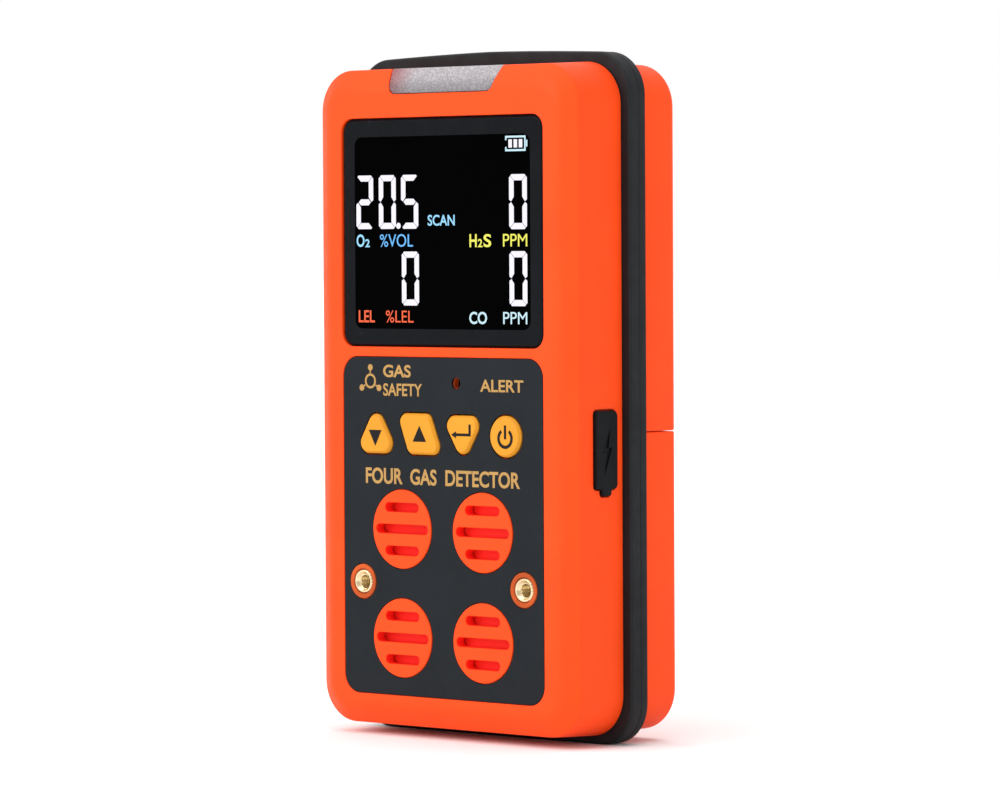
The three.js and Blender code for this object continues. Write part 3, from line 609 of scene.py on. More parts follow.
# Painted light: the cap's colour is scaled from 0.78 on its lower front up to 1.4 on its upper
# part over the crease, a painted highlight above and painted shade below.
painted_light_by_height = ranged(tree, split.outputs["Z"], 128.2 * MM, 131.2 * MM, 0.78, 1.4)
painted_light_by_height.node.interpolation_type = "SMOOTHSTEP"
tinted = nodes.new("ShaderNodeMix")
tinted.data_type = "RGBA"
tinted.blend_type = "MULTIPLY"
tinted.inputs[7].default_value = (0.80, 0.28, 0.30, 1)
bump = nodes.new("ShaderNodeBump")
bump.inputs["Distance"].default_value = 0.05 * MM
bump.inputs["Strength"].default_value = 0.8
links.new(place.outputs["Object"], cells.inputs["Vector"])
links.new(cells.outputs["Distance"], ramp.inputs["Fac"])
links.new(redness, tinted.inputs["Factor"])
links.new(ramp.outputs["Color"], tinted.inputs[6])
painted_light_colour = nodes.new("ShaderNodeVectorMath")
painted_light_colour.operation = "SCALE"
links.new(tinted.outputs[2], painted_light_colour.inputs["Vector"])
links.new(painted_light_by_height, painted_light_colour.inputs["Scale"])
links.new(painted_light_colour.outputs["Vector"], shader.inputs["Base Color"])
links.new(cells.outputs["Distance"], bump.inputs["Height"])
links.new(bump.outputs["Normal"], shader.inputs["Normal"])
light_cap = light_solid("light_cap", 0, 0.05, 1.6, frosted)
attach(light_cap, "housing")
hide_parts("alarm_light_lens")

# --- Bumper band ------------------------------------------------------------------------
# One black rubber extrusion bent round the joint of the two shells, butted at the top. Its
# outer face has a front shoulder and a fine groove along the middle.
rubber = finish("black_rubber", (0.0092, 0.0102, 0.0120), 0.6, grain=0.02, grain_size=0.35,
                mottle=0.16, gloss=0.2, spread=0.08)
PROUD, BAND_ROOT = 2.2, 1.9
BAND_CORNER = 8.2
CROWN = 1.1  # rise of the top run at its middle
BUTT_X = -1.0  # where the two ends meet
GROOVE_DEPTH = (BAND_FRONT + BAND_BACK) / 2 + 0.35
band_section = rounded(
    [(BAND_ROOT, BAND_FRONT), (-PROUD + 0.3, BAND_FRONT), (-PROUD, BAND_FRONT + 0.55),
     (-PROUD, GROOVE_DEPTH - 0.16), (-PROUD + 0.14, GROOVE_DEPTH), (-PROUD, GROOVE_DEPTH + 0.16),
     (-PROUD, BAND_BACK - 0.05), (BAND_ROOT, BAND_BACK - 0.05)],
    [0.2, 0.35, 0.35, 0.08, 0.06, 0.08, 0.35, 0.2], steps=5)


def band_ring(inset, depth):
    """The case outline with tighter corners and extra points along its straight runs; the
    top run rises in a shallow crown, steepest at its ends, and is nicked at the butt."""
    half, low, high = CREASE_HALF - inset, CREASE_LOW + inset, CREASE_HIGH - inset
    radius = max(BAND_CORNER - PROUD - inset, 0.8)
    spots = np.linspace(-1, 1, 13)[1:-1] * (half - radius)
    foot = np.stack([spots, 0 * spots + low], 1)
    along_top = np.sort(np.append(spots, BUTT_X + np.array([-0.12, 0, 0.12])))[::-1]
    top = np.stack([along_top, 0 * along_top + high], 1)
    corners = box_loop(half, low, high, radius, 14).reshape(4, 15, 2)
    ring = np.concatenate([corners[0], foot, corners[1], corners[2], top, corners[3]])
    crown = 1 - np.abs(np.clip(ring[:, 0] / half, -1, 1)) ** 1.5
    upper = np.clip((ring[:, 1] - high + radius) / radius, 0, 1)
    nick = 0.3 * (inset < -1) * (np.abs(ring[:, 0] - BUTT_X) < 0.01)
    ring[:, 1] += (CROWN * crown - nick) * upper
    return np.stack([ring[:, 0], np.full(len(ring), depth), ring[:, 1]], 1)


band = Skin()
band.grid([band_ring(inset, depth) for inset, depth in band_section], round_v=True)
bumper = band.build("bumper_band_rubber", [rubber])
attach(bumper, "housing")
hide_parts("bumper_band")

# --- Rear shell ------------------------------------------------------------------------
# The upper back of the case with the joint's locating lip and the floor of the battery bay,
# moulded like the front. Two case screws sit deep in round wells.
BACK = span("rear_shell")[1][1] - FRONT
TRAY_FLOOR = 29.1  # the inside of the back wall
REAR_POST_END = 19.4
REAR_START = BAND_BACK + 0.08
SEAM = 61.0
SEAM_HALF_GAP = 0.08


def rear_ring(inset, depth, upper):
    """One end of the rear outline: the far corners keep the case's radius, and the seam
    edge draws back only a tenth as far as the sides, which opens a fine V at the back."""
    seam_corner = 0.35
    draw = 0.1 * (inset + 0.3) + SEAM_HALF_GAP
    half = CREASE_HALF - inset
    radius = max(CREASE_RADIUS - inset, 0.8)
    if upper:
        low, high = SEAM + draw, CREASE_HIGH - inset
        radii = [seam_corner, seam_corner, radius, radius]
    else:
        low, high = CREASE_LOW + inset, SEAM - draw
        radii = [radius, radius, seam_corner, seam_corner]
    corners = [(-half, low), (half, low), (half, high), (-half, high)]
    return np.insert(rounded(corners, radii, 12), 1, depth, axis=1)


rear_profile = rounded([(1.9, REAR_START), (-0.3, REAR_START), (-0.3, BACK), (1.9, BACK)],
                       [0.1, 0.3, 1.7, 0], steps=9, closed=False)
tray_inside = rounded([(3.2, TRAY_FLOOR), (1.9, TRAY_FLOOR), (1.9, REAR_START)], [0, 1.0, 0],
                      closed=False)


def back_half(name, upper, wells):
    """A tray: the rear profile carried round one end of the outline, outside and inside,
    with round wells (x, z, radius, bottom, through radius) sunk from the back."""
    tray = Skin()
    tray.grid([rear_ring(inset, depth, upper) for inset, depth in rear_profile])
    tray.grid([rear_ring(inset, depth, upper) for inset, depth in tray_inside])
    outer_edge = rear_ring(*rear_profile[-1], upper)[:, ::2]
    inner_edge = rear_ring(*tray_inside[0], upper)[:, ::2]
    mouths, feet = [], []
    for x, z, radius, bottom, through in wells:
        well, hole = circle(x, z, radius, 40), circle(x, z, through, 40)
        edge = rim(BACK, 0.2, steps=4)
        tray.wall(well, [(2 * BACK - level, push) for level, push in edge] + [(bottom, 0)])
        mouths.append(pushed(well, edge[0][1]))
        tray.flat(bottom, well, [hole])
        if bottom > TRAY_FLOOR:
            tray.wall(hole, [(bottom, 0), (TRAY_FLOOR, 0)])
            feet.append(hole)
        else:
            post = circle(x, z, radius + 1.3, 40)
            tray.wall(hole, [(bottom, 0), (REAR_POST_END, 0)])
            tray.flat(REAR_POST_END, post, [hole])
            tray.wall(post, [(REAR_POST_END, 0), (TRAY_FLOOR, 0)])
            feet.append(post)
    tray.flat(BACK, outer_edge, mouths)
    tray.flat(TRAY_FLOOR, inner_edge, feet)
    return tray.build(name, [orange])


rear_upper = back_half("rear_shell_moulding", True,
                       [(x, z, 2.9, 23.9, 1.5) for x, z in CASE_SCREWS[2:]])
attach(rear_upper, "housing")
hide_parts("rear_shell")

lip = Skin()
lip_section = [(2.2, 12.2), (2.6, 12), (3.5, 12), (3.5, 23.5), (2.2, 23.5)]
lip.grid([lip.lift(body_loop(inset), depth) for inset, depth in lip_section], round_v=True)
lip.prism(np.minimum(body_loop(2.3), [CREASE_HALF, SEAM - 0.4]), 23.7, 24.5)
joint_lip = lip.build("joint_lip_and_bay_floor", [orange])
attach(joint_lip, "housing")

# --- Battery cover ------------------------------------------------------------------------
# The lower back of the case, hooked in at the seam and held at the foot by two screws whose
# heads lie in shallow wells.
COVER_SCREWS = [(-16, 8), (16, 8)]
battery_cover = back_half("battery_cover_moulding", False,
                          [(x, z, 2.7, 29.6, 1.3) for x, z in COVER_SCREWS])
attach(battery_cover, "housing")
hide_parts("battery_cover")

# --- Screws --------------------------------------------------------------------------
# Nickel-plated pan heads with a cross recess, turned and pressed from steel wire.
steel = finish("plated_steel", (0.55, 0.55, 0.56), 0.28, metal=1.0, grain=0.004,
               grain_size=0.3, mottle=0.08, spread=0.08)


def cross_loop(x, z, arm, thin):
    """A plus sign: two bars crossed, twelve corners."""
    quarter = np.array([(thin, -arm), (thin, -thin), (arm, -thin)])
    turns = [quarter, quarter[::-1] * [1, -1], -quarter, -quarter[::-1] * [1, -1]]
    return np.concatenate(turns) + [x, z]


def screw_piece(node):
    """A domed head and a plain shank about the node's axis; the recess tapers to its floor."""
    low, high = span(node)
    x, z, radius = (low[0] + high[0]) / 2, (low[2] + high[2]) / 2, (high[0] - low[0]) / 2
    tip, top = low[1] - FRONT, high[1] - FRONT
    height = 1.7 if radius > 2.4 else 0.9 if radius > 2.25 else 1.2
    shank = 0.42 * radius
    part = Skin()
    dome = rounded([(top, -0.45 * radius), (top, -0.12 * radius), (top - height, 0),
                    (top - height, shank - radius)], [0, 0.5 * radius, 0.08, 0], closed=False)
    part.wall(circle(x, z, radius, 40), dome)
    neck = pushed(circle(x, z, radius, 40), shank - radius)
    part.wall(neck, [(tip, -0.5 * shank), (tip + 0.4, 0), (top - height, 0)])
    part.flat(tip, pushed(neck, -0.5 * shank))
    mouth = cross_loop(x, z, 0.42 * radius, 0.1 * radius)
    floor_loop = cross_loop(x, z, 0.3 * radius, 0.07 * radius)
    sunk = top - 0.6 * height
    part.grid([part.lift(mouth, top), part.lift(floor_loop, sunk)])
    part.flat(top, pushed(circle(x, z, radius, 40), -0.45 * radius), [mouth])
    part.flat(sunk, floor_loop)
    piece = part.build(node + "_cross_head", [steel])
    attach(piece, "housing")
    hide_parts(node)


for name in frame["nodes"]:
    if "_screw_" in name:
        screw_piece(name)

# --- Front film -----------------------------------------------------------------------
# A dark slate polycarbonate film let into the shell, cut round the ports, keys and inserts,
# with its lettering printed in gold.
slate = finish("slate_film", (0.0088, 0.0115, 0.0148), 0.52, grain=0.006, grain_size=0.3,
               mottle=0.07, gloss=0.12, spread=0.06)
gold = finish("gold_print", (0.44, 0.25, 0.075), 0.5, mottle=0.05, gloss=0.2)
FILM_TOP, FILM_BACK = 0.06, 0.55
film = Skin()
film_outline = box_loop(*OVERLAY)
film_holes = [*(pushed(loop, 0.14) for loop in vent_loops),
              *(pushed(loop, 0.14) for loop in ring_loops),
              *(pushed(loop, 0.02) for loop in key_holes), sound_hole]
film.wall(film_outline, [(FILM_BACK, 0), (FILM_TOP + 0.08, 0), (FILM_TOP, -0.08),
                         (FILM_TOP, -0.14)])
for hole in film_holes:
    film.wall(hole, [(FILM_BACK, 0), (FILM_TOP + 0.05, 0), (FILM_TOP, 0.05)])
film.flat(FILM_TOP, pushed(film_outline, -0.14), [pushed(hole, 0.05) for hole in film_holes])
film.flat(FILM_BACK, film_outline, film_holes)
overlay = film.build("front_film", [slate])
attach(overlay, "housing")
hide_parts("front_overlay")


def lettering(name, words, box, front, thick, material, weight):
    """Raised print: the words are set, stood upright, and stretched to fill the box
    (left, right, low, high) in millimetres exactly."""
    curve = bpy.data.curves.new(name, "FONT")
    curve.body = words
    curve.size = 1.0
    curve.offset = weight
    curve.extrude = 0.5
    curve.resolution_u = 6
    holder = linked(name, curve)
    mesh = bpy.data.meshes.new_from_object(
        holder.evaluated_get(bpy.context.evaluated_depsgraph_get()))
    bpy.data.objects.remove(holder)
    flat = np.empty(len(mesh.vertices) * 3)
    mesh.vertices.foreach_get("co", flat)
    flat = flat.reshape(-1, 3)
    share = (flat - flat.min(0)) / np.ptp(flat, axis=0)
    left, right, low, high = box
    placed = np.stack([left + share[:, 0] * (right - left),
                       FRONT + front + thick * (1 - share[:, 2]),
                       low + share[:, 1] * (high - low)], 1) * MM
    mesh.vertices.foreach_set("co", placed.ravel())
    weld(mesh, 1e-6)
    mesh.materials.clear()
    mesh.materials.append(material)
    mesh.name = name
    piece = linked(name, mesh)
    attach(piece, "housing")


INK = 0.03  # thickness of a printed layer
for name, words, box, weight in (
        ("print_title", "FOUR  GAS  DETECTOR", (-20.6, 20.6, 50.3, 53.5), 0.025),
        ("print_gas", "GAS", (-15.7, -8.2, 71.5, 74.0), 0.025),
        ("print_safety", "SAFETY", (-15.7, -5.2, 67.8, 70.3), 0.02),
        ("print_alert", "ALERT", (10.3, 21.6, 69.0, 71.4), 0.02)):
    lettering(name, words, box, FILM_TOP - INK, INK, gold, weight)

# The emblem is a plain molecule: a ring with three balls on short bonds.
emblem = Skin()
EMBLEM = np.array([-19.2, 70.7])
emblem.wall(circle(*EMBLEM, 1.5), [(FILM_TOP - INK, 0), (FILM_TOP, 0), (FILM_TOP, -0.45),
                                   (FILM_TOP - INK, -0.45), (FILM_TOP - INK, 0)])
for angle in np.radians([90, 210, 330]):
    heading = np.array([np.cos(angle), np.sin(angle)])
    across = np.array([-heading[1], heading[0]])
    emblem.prism(circle(*(EMBLEM + 2.7 * heading), 0.65, 24), FILM_TOP - INK, FILM_TOP)
    bond = [EMBLEM + reach * heading + side * across
            for reach, side in ((1.6, 0.16), (1.6, -0.16), (2.0, -0.16), (2.0, 0.16))]
    emblem.prism(np.array(bond), FILM_TOP - INK, FILM_TOP)
molecule = emblem.build("print_molecule", [gold])
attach(molecule, "housing")

# --- Threaded inserts -------------------------------------------------------------------
# Turned brass, knurled outside and tapped M3 inside, pressed hot into the shell's bosses.
brass = finish("turned_brass", (0.83, 0.68, 0.42), 0.22, metal=1.0, grain=0.006,
               grain_size=0.25, mottle=0.1, spread=0.08)
for side, x in (("left", -INSERT_X), ("right", INSERT_X)):
    turn = np.linspace(0, 2 * np.pi, 96, endpoint=False)
    knurl = 0.12 * np.abs(np.sin(12 * turn))
    top, end = 0.0, 5.9
    pitch = 0.5
    profile = [(end, 1.35, 0), (end, 2.2, 0), (end - 0.3, 2.3, 1), (top + 0.5, 2.3, 1),
               (top + 0.15, 2.28, 1), (top, 2.15, 0.4), (top, 1.95, 0), (top + 0.12, 1.85, 0),
               (top + 0.55, 1.45, 0)]
    rings = [(depth + 0 * turn, radius + share * knurl) for depth, radius, share in profile]
    for depth in np.arange(top + 0.6, end - 0.1, pitch / 8):
        phase = (depth / pitch + turn / (2 * np.pi)) % 1
        rings.append((depth + 0 * turn, 1.25 + 0.3 * np.abs(phase - 0.5)))
    tapped = Skin()
    tapped.grid([np.stack([x + r * np.cos(turn), depth, INSERT_Z + r * np.sin(turn)], 1)
                 for depth, r in rings], round_v=True)
    insert = tapped.build("insert_" + side, [brass])
    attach(insert, "housing")
    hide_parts("threaded_insert_" + side)

# --- Display window and its readings ------------------------------------------------------
# A chamfered black window with a printed dark grey border. The readings are a 7-segment
# colour display behind it, lit in white, blue, yellow, cyan and red.
black_glass = finish("window_black", (0.0003, 0.0003, 0.0004), 0.12, mottle=0.05, gloss=0.008,
                     spread=0.02)
border_grey = finish("window_border", (0.0032, 0.0041, 0.0056), 0.3, grain=0.003, mottle=0.1,
                     gloss=0.07, spread=0.06, wear=(0.016, 0.018, 0.02))
WINDOW_TOP, WINDOW_END = 0.28, 1.5
pane = Skin()
pane_outline, view_outline = box_loop(*WINDOW), box_loop(*VIEW_AREA)
pane.wall(pane_outline, [(WINDOW_END, 0), (WINDOW_TOP + 0.4, 0), (WINDOW_TOP + 0.34, -0.05),
                         (WINDOW_TOP + 0.04, -0.5), (WINDOW_TOP, -0.6), (WINDOW_TOP, -0.7)])
pane.flat(WINDOW_TOP, pushed(pane_outline, -0.7), [view_outline])
pane.flat(WINDOW_TOP, view_outline, slot=1)
pane.flat(WINDOW_END, pane_outline)
window = pane.build("display_pane", [border_grey, black_glass], smooth=50)
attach(window, "housing")
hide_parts("display_window")


def glow(name, colour, strength):
    """A lit shape under the window's gloss: its brightness drifts a little from place to
    place, as a back-lit display's does."""
    material = finish(name, (0.01, 0.01, 0.01), 0.1, mottle=0.2, spread=0.03)
    tree = material.node_tree
    shader = tree.nodes["Principled BSDF"]
    shader.inputs["Emission Color"].default_value = (*colour, 1)
    drift = ranged(tree, tree.nodes["Noise Texture"].outputs["Fac"], 0, 1,
                   0.9 * strength, 1.1 * strength)
    tree.links.new(drift, shader.inputs["Emission Strength"])
    return material


lit_white = glow("lit_white", (0.93, 0.90, 1.0), 1.0)
lit_colours = {
    "blue": glow("lit_blue", (0.12, 0.50, 1.0), 1.0),
    "pale_blue": glow("lit_pale_blue", (0.32, 0.72, 1.0), 1.0),
    "yellow": glow("lit_yellow", (0.93, 0.90, 0.10), 0.95),
    "red": glow("lit_red", (1.0, 0.10, 0.008), 1.0),
    "cyan": glow("lit_cyan", (0.62, 0.90, 1.0), 0.95),
}
LIT_FRONT, LIT_BACK = WINDOW_TOP - 0.02, WINDOW_TOP
DIGIT_WIDE, DIGIT_TALL, STROKE, CUT = 4.62, 10.65, 1.2, 0.07
CHAMFER = 0.55  # across the outer corners of a digit


def segments():
    """The seven bars of a digit in a unit cell: mitred at their ends, cut apart by a hair."""
    w, h, t, c, m = DIGIT_WIDE, DIGIT_TALL, STROKE, CUT, DIGIT_TALL / 2
    k = CHAMFER
    top = np.array([(k + c, h), (k / 2 + c, h - k / 2), (t + c, h - t), (w - t - c, h - t),
                    (w - k / 2 - c, h - k / 2), (w - k - c, h)])
    side = np.array([(w, m + 0.3 * t + c), (w, h - k - c), (w - k / 2, h - k / 2 - c),
                     (w - t, h - t - c), (w - t, m + 0.75 * t + c), (w - 0.42 * t, m + c)])
    middle = np.array([(t / 2 + c, m), (t + c, m - t / 2), (w - t - c, m - t / 2),
                       (w - t / 2 - c, m), (w - t - c, m + t / 2), (t + c, m + t / 2)])
    mirror_x, mirror_z = np.array([[-1, 1], [w, 0]]), np.array([[1, -1], [0, h]])

    def mirrored(loop, rule):
        return (loop * rule[0] + rule[1])[::-1]

    low_side = mirrored(side, mirror_z)
    return {"a": top, "d": mirrored(top, mirror_z), "b": side, "c": low_side,
            "f": mirrored(side, mirror_x), "e": mirrored(low_side, mirror_x), "g": middle}


BARS = {"0": "abcdef", "2": "abged", "5": "afgcd"}
READINGS = [("2", -22.95, 100.9), ("0", -16.8, 100.9), ("5", -10.75, 100.9), ("0", 17.95, 100.65),
            ("0", -10.65, 85.75), ("0", 17.95, 85.75)]
readings = Skin()
for digit, x, z in READINGS:
    for bar in BARS[digit]:
        readings.prism(segments()[bar] + [x, z], LIT_FRONT, LIT_BACK)
readings.prism(circle(-11.5, 101.5, 0.6, 20), LIT_FRONT, LIT_BACK)
# The battery sign at the top right: a bracket open at its left, a cap and three bars.
BATTERY = np.array([17.0, 115.75])
bracket = np.array([(0, 0), (5.3, 0), (5.3, 3), (0, 3), (0, 2.15), (0.35, 2.15), (0.35, 2.62),
                    (4.95, 2.62), (4.95, 0.38), (0.35, 0.38), (0.35, 0.85), (0, 0.85)])
readings.prism(bracket + BATTERY, LIT_FRONT, LIT_BACK, slot=1)
readings.prism(np.array([(5.4, 0.85), (5.75, 0.85), (5.75, 2.15), (5.4, 2.15)]) + BATTERY,
               LIT_FRONT, LIT_BACK, slot=1)
cell = np.array([(0.85, 0.7), (1.75, 0.7), (1.75, 2.3), (0.85, 2.3)])
for step in range(3):
    readings.prism(cell + BATTERY + [1.35 * step, 0], LIT_FRONT, LIT_BACK)
lit_readings = readings.build("lit_readings", [lit_white, lit_colours["cyan"]])
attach(lit_readings, "housing")
LABELS = [
    ("scan", "SCAN", (-3.6, 3.6, 101.45, 103.6), "pale_blue", 0.015),
    ("oxygen", "O", (-22.95, -20.8, 97.35, 99.85), "pale_blue", 0.02),
    ("oxygen_pair", "2", (-20.6, -19.35, 97.3, 98.9), "pale_blue", 0.02),
    ("volume_share", "%VOL", (-16.55, -7.6, 97.35, 99.85), "blue", 0.0),
    ("sulphide", "H", (7.5, 9.4, 97.2, 99.75), "yellow", 0.02),
    ("sulphide_pair", "2", (9.7, 10.9, 97.2, 98.8), "yellow", 0.02),
    ("sulphide_end", "S", (11.2, 13.2, 97.2, 99.75), "yellow", 0.02),
    ("sulphide_unit", "PPM", (16.3, 22.6, 97.3, 99.75), "yellow", 0.0),
    ("explosive", "LEL", (-22.5, -18.1, 82.35, 84.75), "red", 0.015),
    ("explosive_unit", "%LEL", (-15.05, -7.55, 82.35, 84.75), "red", 0.0),
    ("monoxide", "CO", (7.35, 12.0, 82.2, 84.6), "cyan", 0.02),
    ("monoxide_unit", "PPM", (16.25, 22.5, 82.25, 84.6), "cyan", 0.0),
]
for name, words, box, colour, weight in LABELS:
    lettering("lit_" + name, words, box, LIT_FRONT, LIT_BACK - LIT_FRONT, lit_colours[colour],
              weight)

# --- Keys --------------------------------------------------------------------------------
# Amber silicone rubber caps with soft shoulders, printed with black signs. Each rides on its
# own slide with the white plunger that works its switch.
amber = finish("amber_silicone", (0.70, 0.285, 0.015), 0.45, grain=0.006, grain_size=0.35,
               mottle=0.04, gloss=0.2, spread=0.05)
ink = finish("black_ink", (0.006, 0.005, 0.004), 0.5, mottle=0.05, gloss=0.15)
KEY_TOP = span("key_down")[0][1] - FRONT
KEY_FOOT = span("key_down")[1][1] - FRONT


def ring_part(x, z, radius, wide, start, end):
    """Part of a ring between two angles, as one closed loop."""
    angle = np.radians(np.linspace(start, end, 30))
    arm = np.stack([np.cos(angle), np.sin(angle)], 1)
    return np.concatenate([arm * (radius + wide / 2), arm[::-1] * (radius - wide / 2)]) + [x, z]


x, z, _ = POWER_KEY
SIGNS = {
    "down": [np.array([(-19.15, 61.0), (-17.4, 57.8), (-15.65, 61.0)])],
    "up": [np.array([(-7.25, 58.9), (-3.6, 58.9), (-5.42, 62.1)])],
    "enter": [np.array([(3.0, 60.5), (4.3, 59.8), (4.3, 60.25), (8.2, 60.25), (8.2, 62.6),
                        (7.6, 62.6), (7.6, 60.8), (4.3, 60.8), (4.3, 61.2)]) + [0.1, 0]],
    "power": [ring_part(x + 0.3, z - 0.35, 1.7, 0.65, -235, 55),
              np.array([(0, 0), (0.6, 0), (0.6, 2.7), (0, 2.7)]) + [x, z - 0.5]],
}
SKIRT_FRONT, SKIRT_WIDE = 2.75, 0.9  # the skirt behind the shell's front wall
SHOULDERS = rounded([(KEY_TOP, -1.4), (KEY_TOP, -0.5), (0.05, -0.04), (SKIRT_FRONT, 0)],
                    [0, 0.45, 0.25, 0], steps=8, closed=False)
for name in KEY_NAMES:
    cap = Skin()
    outline = key_loop(name)
    cap.wall(outline, SHOULDERS)
    cap.flat(KEY_TOP, pushed(outline, SHOULDERS[0][1]))
    cap.wall(outline, [(SKIRT_FRONT, 0), (SKIRT_FRONT, SKIRT_WIDE), (KEY_FOOT, SKIRT_WIDE)])
    cap.flat(KEY_FOOT, pushed(outline, SKIRT_WIDE))
    for sign in SIGNS[name]:
        cap.prism(sign, KEY_TOP - 0.02, KEY_TOP + 0.02, slot=1)
    key = cap.build("key_cap_" + name, [amber, ink], smooth=40)
    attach(key, name + "_key")
    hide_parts("key_" + name)

# --- Socket cover -------------------------------------------------------------------------
# A soft black rubber plug hinged at its top end, a little bowed, with a sunk spark sign and
# a pull tab at its foot.
soft_rubber = finish("socket_rubber", (0.0042, 0.0048, 0.0056), 0.6, grain=0.02,
                     grain_size=0.35, mottle=0.15, gloss=0.13, spread=0.08)
cover = Skin("x")
outline = socket_outline()
wave = np.exp(-((outline[:, 1] - 57) / 4.2) ** 2) * (outline[:, 0] > SOCKET_BACK - 1.5)
outline = outline - np.stack([0.5 * wave, 0 * wave], 1)
COVER_FACE, COVER_REAR = USB_HIGH[0], 33.45
COVER_MIDDLE, COVER_HALF = 57.9, 8
cover_shape = rounded([(COVER_REAR, -0.12), (COVER_FACE, -0.02), (COVER_FACE, -0.4)],
                      [0, 0.36, 0], steps=8, closed=False)


def bowed(points):
    """Lifts the face by a shallow saddle: up at the ends, down in the middle."""
    reach = np.clip((points[:, 2] - COVER_MIDDLE) / COVER_HALF, -1, 1)
    lift = 0.22 * reach ** 2 * np.clip((points[:, 0] - COVER_REAR) / 1.4, 0, 1)
    return points + np.stack([lift, 0 * lift, 0 * lift], 1)


cover.grid([bowed(cover.lift(pushed(outline, push), level)) for level, push in cover_shape])
inner_loop = pushed(outline, cover_shape[-1][1])
spark = np.array([(10.3, 62.2), (8.0, 57.3), (9.15, 57.5), (8.5, 52.9), (10.9, 58.4), (9.8, 58.2)])
cover.flat(COVER_FACE, inner_loop, [spark])
cover.points[-1] = bowed(cover.points[-1])
SPARK_SUNK = np.array([-0.35, 0, 0])
spark_edge = bowed(cover.lift(spark, COVER_FACE))
cover.grid([spark_edge, spark_edge + SPARK_SUNK])
cover.flat(COVER_FACE, spark)
cover.points[-1] = bowed(cover.points[-1]) + SPARK_SUNK
cover.flat(COVER_REAR, pushed(outline, -0.12))
plug = rounded([(8.15, 54.25), (10.65, 54.25), (10.65, 61.55), (8.15, 61.55)], 0.8)
cover.wall(plug, [(32.35, -0.3), (32.6, 0), (33.4, 0)])
cover.flat(32.35, pushed(plug, -0.3))
cover.flat(33.4, plug)
socket_cover = cover.build("socket_cover", [soft_rubber], smooth=35)
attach(socket_cover, "usb_flap")
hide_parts("usb_cover")

# --- Belt clip ---------------------------------------------------------------------------
# A glass-filled nylon lever on a steel pin between the bracket's ears. A torsion spring
# keeps its toe near the case.
nylon = finish("black_nylon", (0.012, 0.0125, 0.0135), 0.5, grain=0.02, grain_size=0.4,
               mottle=0.12, gloss=0.3, spread=0.08)
PIVOT_DEPTH, PIVOT_Z = 36.4, 112.0
LEVER_HALF = span("clip_lever")[1][0]
arm = rounded(
    [(37.3, 122), (38.2, 118), (37.2, 114), (37.2, 80), (35.6, 76.6), (32.6, 75.4),
     (31.8, 74.4), (31.8, 73), (33.4, 73.2), (36.6, 74.6), (39, 78.4), (39.4, 84), (39.4, 116),
     (40.4, 119.6), (39.4, 122.4), (38, 122.8)],
    [0.5, 4, 6, 6, 3, 0.9, 0.6, 0.6, 3, 3, 5, 20, 8, 2.4, 0.7, 0.7], steps=7)
lever = Skin("x")
EDGE = 0.45
turn = np.linspace(0, np.pi / 2, 5)
half_sweep = list(zip(-LEVER_HALF + EDGE * (1 - np.cos(turn)), -EDGE * (1 - np.sin(turn))))
sweep = half_sweep + [(-level, push) for level, push in half_sweep[::-1]]
lever.wall(arm, sweep)
lever.flat(-LEVER_HALF, pushed(arm, -EDGE))
lever.flat(LEVER_HALF, pushed(arm, -EDGE))
clip_lever = lever.build("belt_clip_lever", [nylon])


def crossbar(radius, start, end, material=nylon, soften=0.0):
    """A round bar about the pivot from one X to another, its ends bevelled."""
    bar, loop = Skin("x"), circle(PIVOT_DEPTH, PIVOT_Z, radius, 40)
    bar.wall(loop, [(start, -soften), (start + soften, 0), (end - soften, 0), (end, -soften)]
             if soften else [(start, 0), (end, 0)])
    bar.flat(start, pushed(loop, -soften))
    bar.flat(end, pushed(loop, -soften))
    return bar.build("crossbar", [material])


HUB_INNER = 4.2
for side in (-1, 1):
    start, end = sorted((side * (HUB_INNER - 0.2), side * (LEVER_HALF - 0.05)))
    carve(clip_lever, crossbar(2.6, start, end), "UNION")
carve(clip_lever, crossbar(2.7, -HUB_INNER, HUB_INNER))
carve(clip_lever, crossbar(1.5, -20, 20))
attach(clip_lever, "clip_arm")
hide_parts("clip_lever")

PLATE_HALF, PLATE_LOW, PLATE_HIGH, PLATE_BACK = 12, 102.5, 121.5, 33.1
bracket_plate = Skin()
plate_loop = box_loop(PLATE_HALF, PLATE_LOW, PLATE_HIGH, 2.0)
plate_rim = rim(0, 0.35)
plate_holes = [circle(0, z, 1.3, 28) for z in (106.3, 117.7)]
bracket_plate.wall(plate_loop, [(PLATE_BACK - level, -push) for level, push in plate_rim[1:]]
                   + [(BACK + 0.1, 0)])
bracket_plate.flat(PLATE_BACK, pushed(plate_loop, -0.35), plate_holes)
bracket_plate.flat(BACK + 0.1, plate_loop, plate_holes)
for hole in plate_holes:
    bracket_plate.wall(hole, [(PLATE_BACK, 0), (BACK + 0.1, 0)])
plate = bracket_plate.build("belt_clip_plate", [nylon])
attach(plate, "housing")
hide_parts("clip_bracket")

ears = Skin("x")
ear_loop = rounded([(31.6, 104.5), (33, 104.5), (38.2, 109.4), (39.3, 112), (38.2, 114.6),
                    (33, 119.5), (31.6, 119.5)], [0, 1, 2.5, 2.2, 2.5, 1, 0], steps=6)
ear_bore = circle(PIVOT_DEPTH, PIVOT_Z, 1.3, 32)
for side in (-1, 1):
    outer, inner = side * PLATE_HALF, side * (PLATE_HALF - 2)
    ears.wall(ear_loop, [(outer, -0.3), (outer - side * 0.1, -0.1), (outer - side * 0.3, 0),
                         (inner, 0)])
    ears.flat(outer, pushed(ear_loop, -0.3), [ear_bore])
    ears.flat(inner, ear_loop, [ear_bore])
    ears.wall(ear_bore, [(outer, 0), (inner, 0)])
clip_ears = ears.build("belt_clip_ears", [nylon])
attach(clip_ears, "housing")

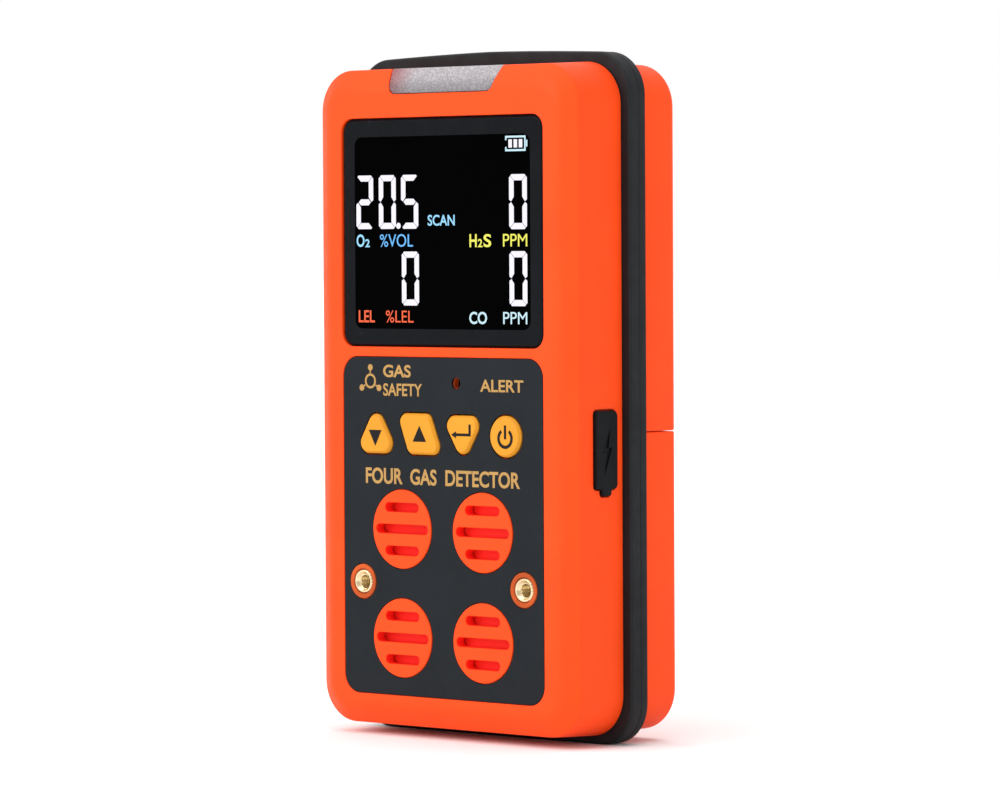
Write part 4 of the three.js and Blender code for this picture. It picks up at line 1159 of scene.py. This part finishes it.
clip_pin = crossbar(1.2, -PLATE_HALF, PLATE_HALF, steel, 0.25)
clip_pin.name = clip_pin.data.name = "belt_clip_pin"
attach(clip_pin, "housing")
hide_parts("clip_pin")


def coil_path(radius, half, turns, leg, steps):
    """A helix about the pivot, from one X to the other, that starts and ends with a straight
    leg along its tangent: out of the first turn downwards, and into the last turn upwards."""
    angle = np.linspace(np.pi, np.pi + 2 * np.pi * turns, steps)
    x = np.linspace(-half, half, steps)
    coil = np.stack([x, PIVOT_DEPTH + radius * np.cos(angle), PIVOT_Z + radius * np.sin(angle)], 1)
    reach = np.linspace(leg, 0, 12, endpoint=False)[:, None]
    first = coil[:1] + reach * [0, 0, 1]
    last = coil[-1:] - reach[::-1] * [0, 0, 1]
    return np.concatenate([first, coil, last])


WIRE = 0.32
path = coil_path(1.96, 3.4, 9, 4.5, 40 * 9)
tangent = np.gradient(path, axis=0)
tangent /= np.linalg.norm(tangent, axis=1)[:, None]
normal = np.cross(tangent, [1.0, 0, 0])
normal /= np.linalg.norm(normal, axis=1)[:, None]
binormal = np.cross(tangent, normal)
turn = np.linspace(0, 2 * np.pi, 12, endpoint=False)[None, :, None]
wire = Skin()
tube = path[:, None] + WIRE * (np.cos(turn) * normal[:, None] + np.sin(turn) * binormal[:, None])
wire.grid(tube)
for end in (0, -1):
    wire.add(tube[end], [list(range(12))])
clip_spring = wire.build("belt_clip_spring", [steel], smooth=60)
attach(clip_spring, "housing")
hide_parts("clip_spring")

# --- Everything inside ------------------------------------------------------------------
# The boards, cells, switches and seals keep their frame shapes, each in its own finish.
board = finish("solder_resist", (0.012, 0.11, 0.035), 0.35, grain=0.01, grain_size=0.8,
               mottle=0.25, gloss=0.5)
white = finish("white_nylon", (0.72, 0.72, 0.69), 0.45, grain=0.008, mottle=0.03)
foam = finish("grey_foam", (0.09, 0.095, 0.10), 0.9, grain=0.08, grain_size=0.5, mottle=0.2)
membrane = finish("white_membrane", (0.82, 0.82, 0.80), 0.8, grain=0.01, grain_size=0.2)
wrap = finish("blue_wrap", (0.03, 0.11, 0.32), 0.35, grain=0.01, grain_size=2.0, mottle=0.1)
FINISHES = {
    "shell_orange": orange, "bumper_rubber": rubber, "film_slate": slate,
    "window_black": black_glass, "light_clear": frosted, "key_amber": amber, "brass": brass,
    "steel": steel, "board_green": board, "plastic_black": nylon, "plastic_white": white,
    "foam_grey": foam, "membrane_white": membrane, "battery_wrap": wrap,
}
slot_of = {part["node"]: part["material_slot"] for part in frame["record"]["subparts"]}
for name, node in frame["nodes"].items():
    node.data.materials.clear()
    # The sensor retainer seen through the slots takes the same redder orange: painted light
    # gathered in the slots.
    node.data.materials.append(painted_slot_light_orange if name == "sensor_retainer" else
                               FINISHES[slot_of[name]])
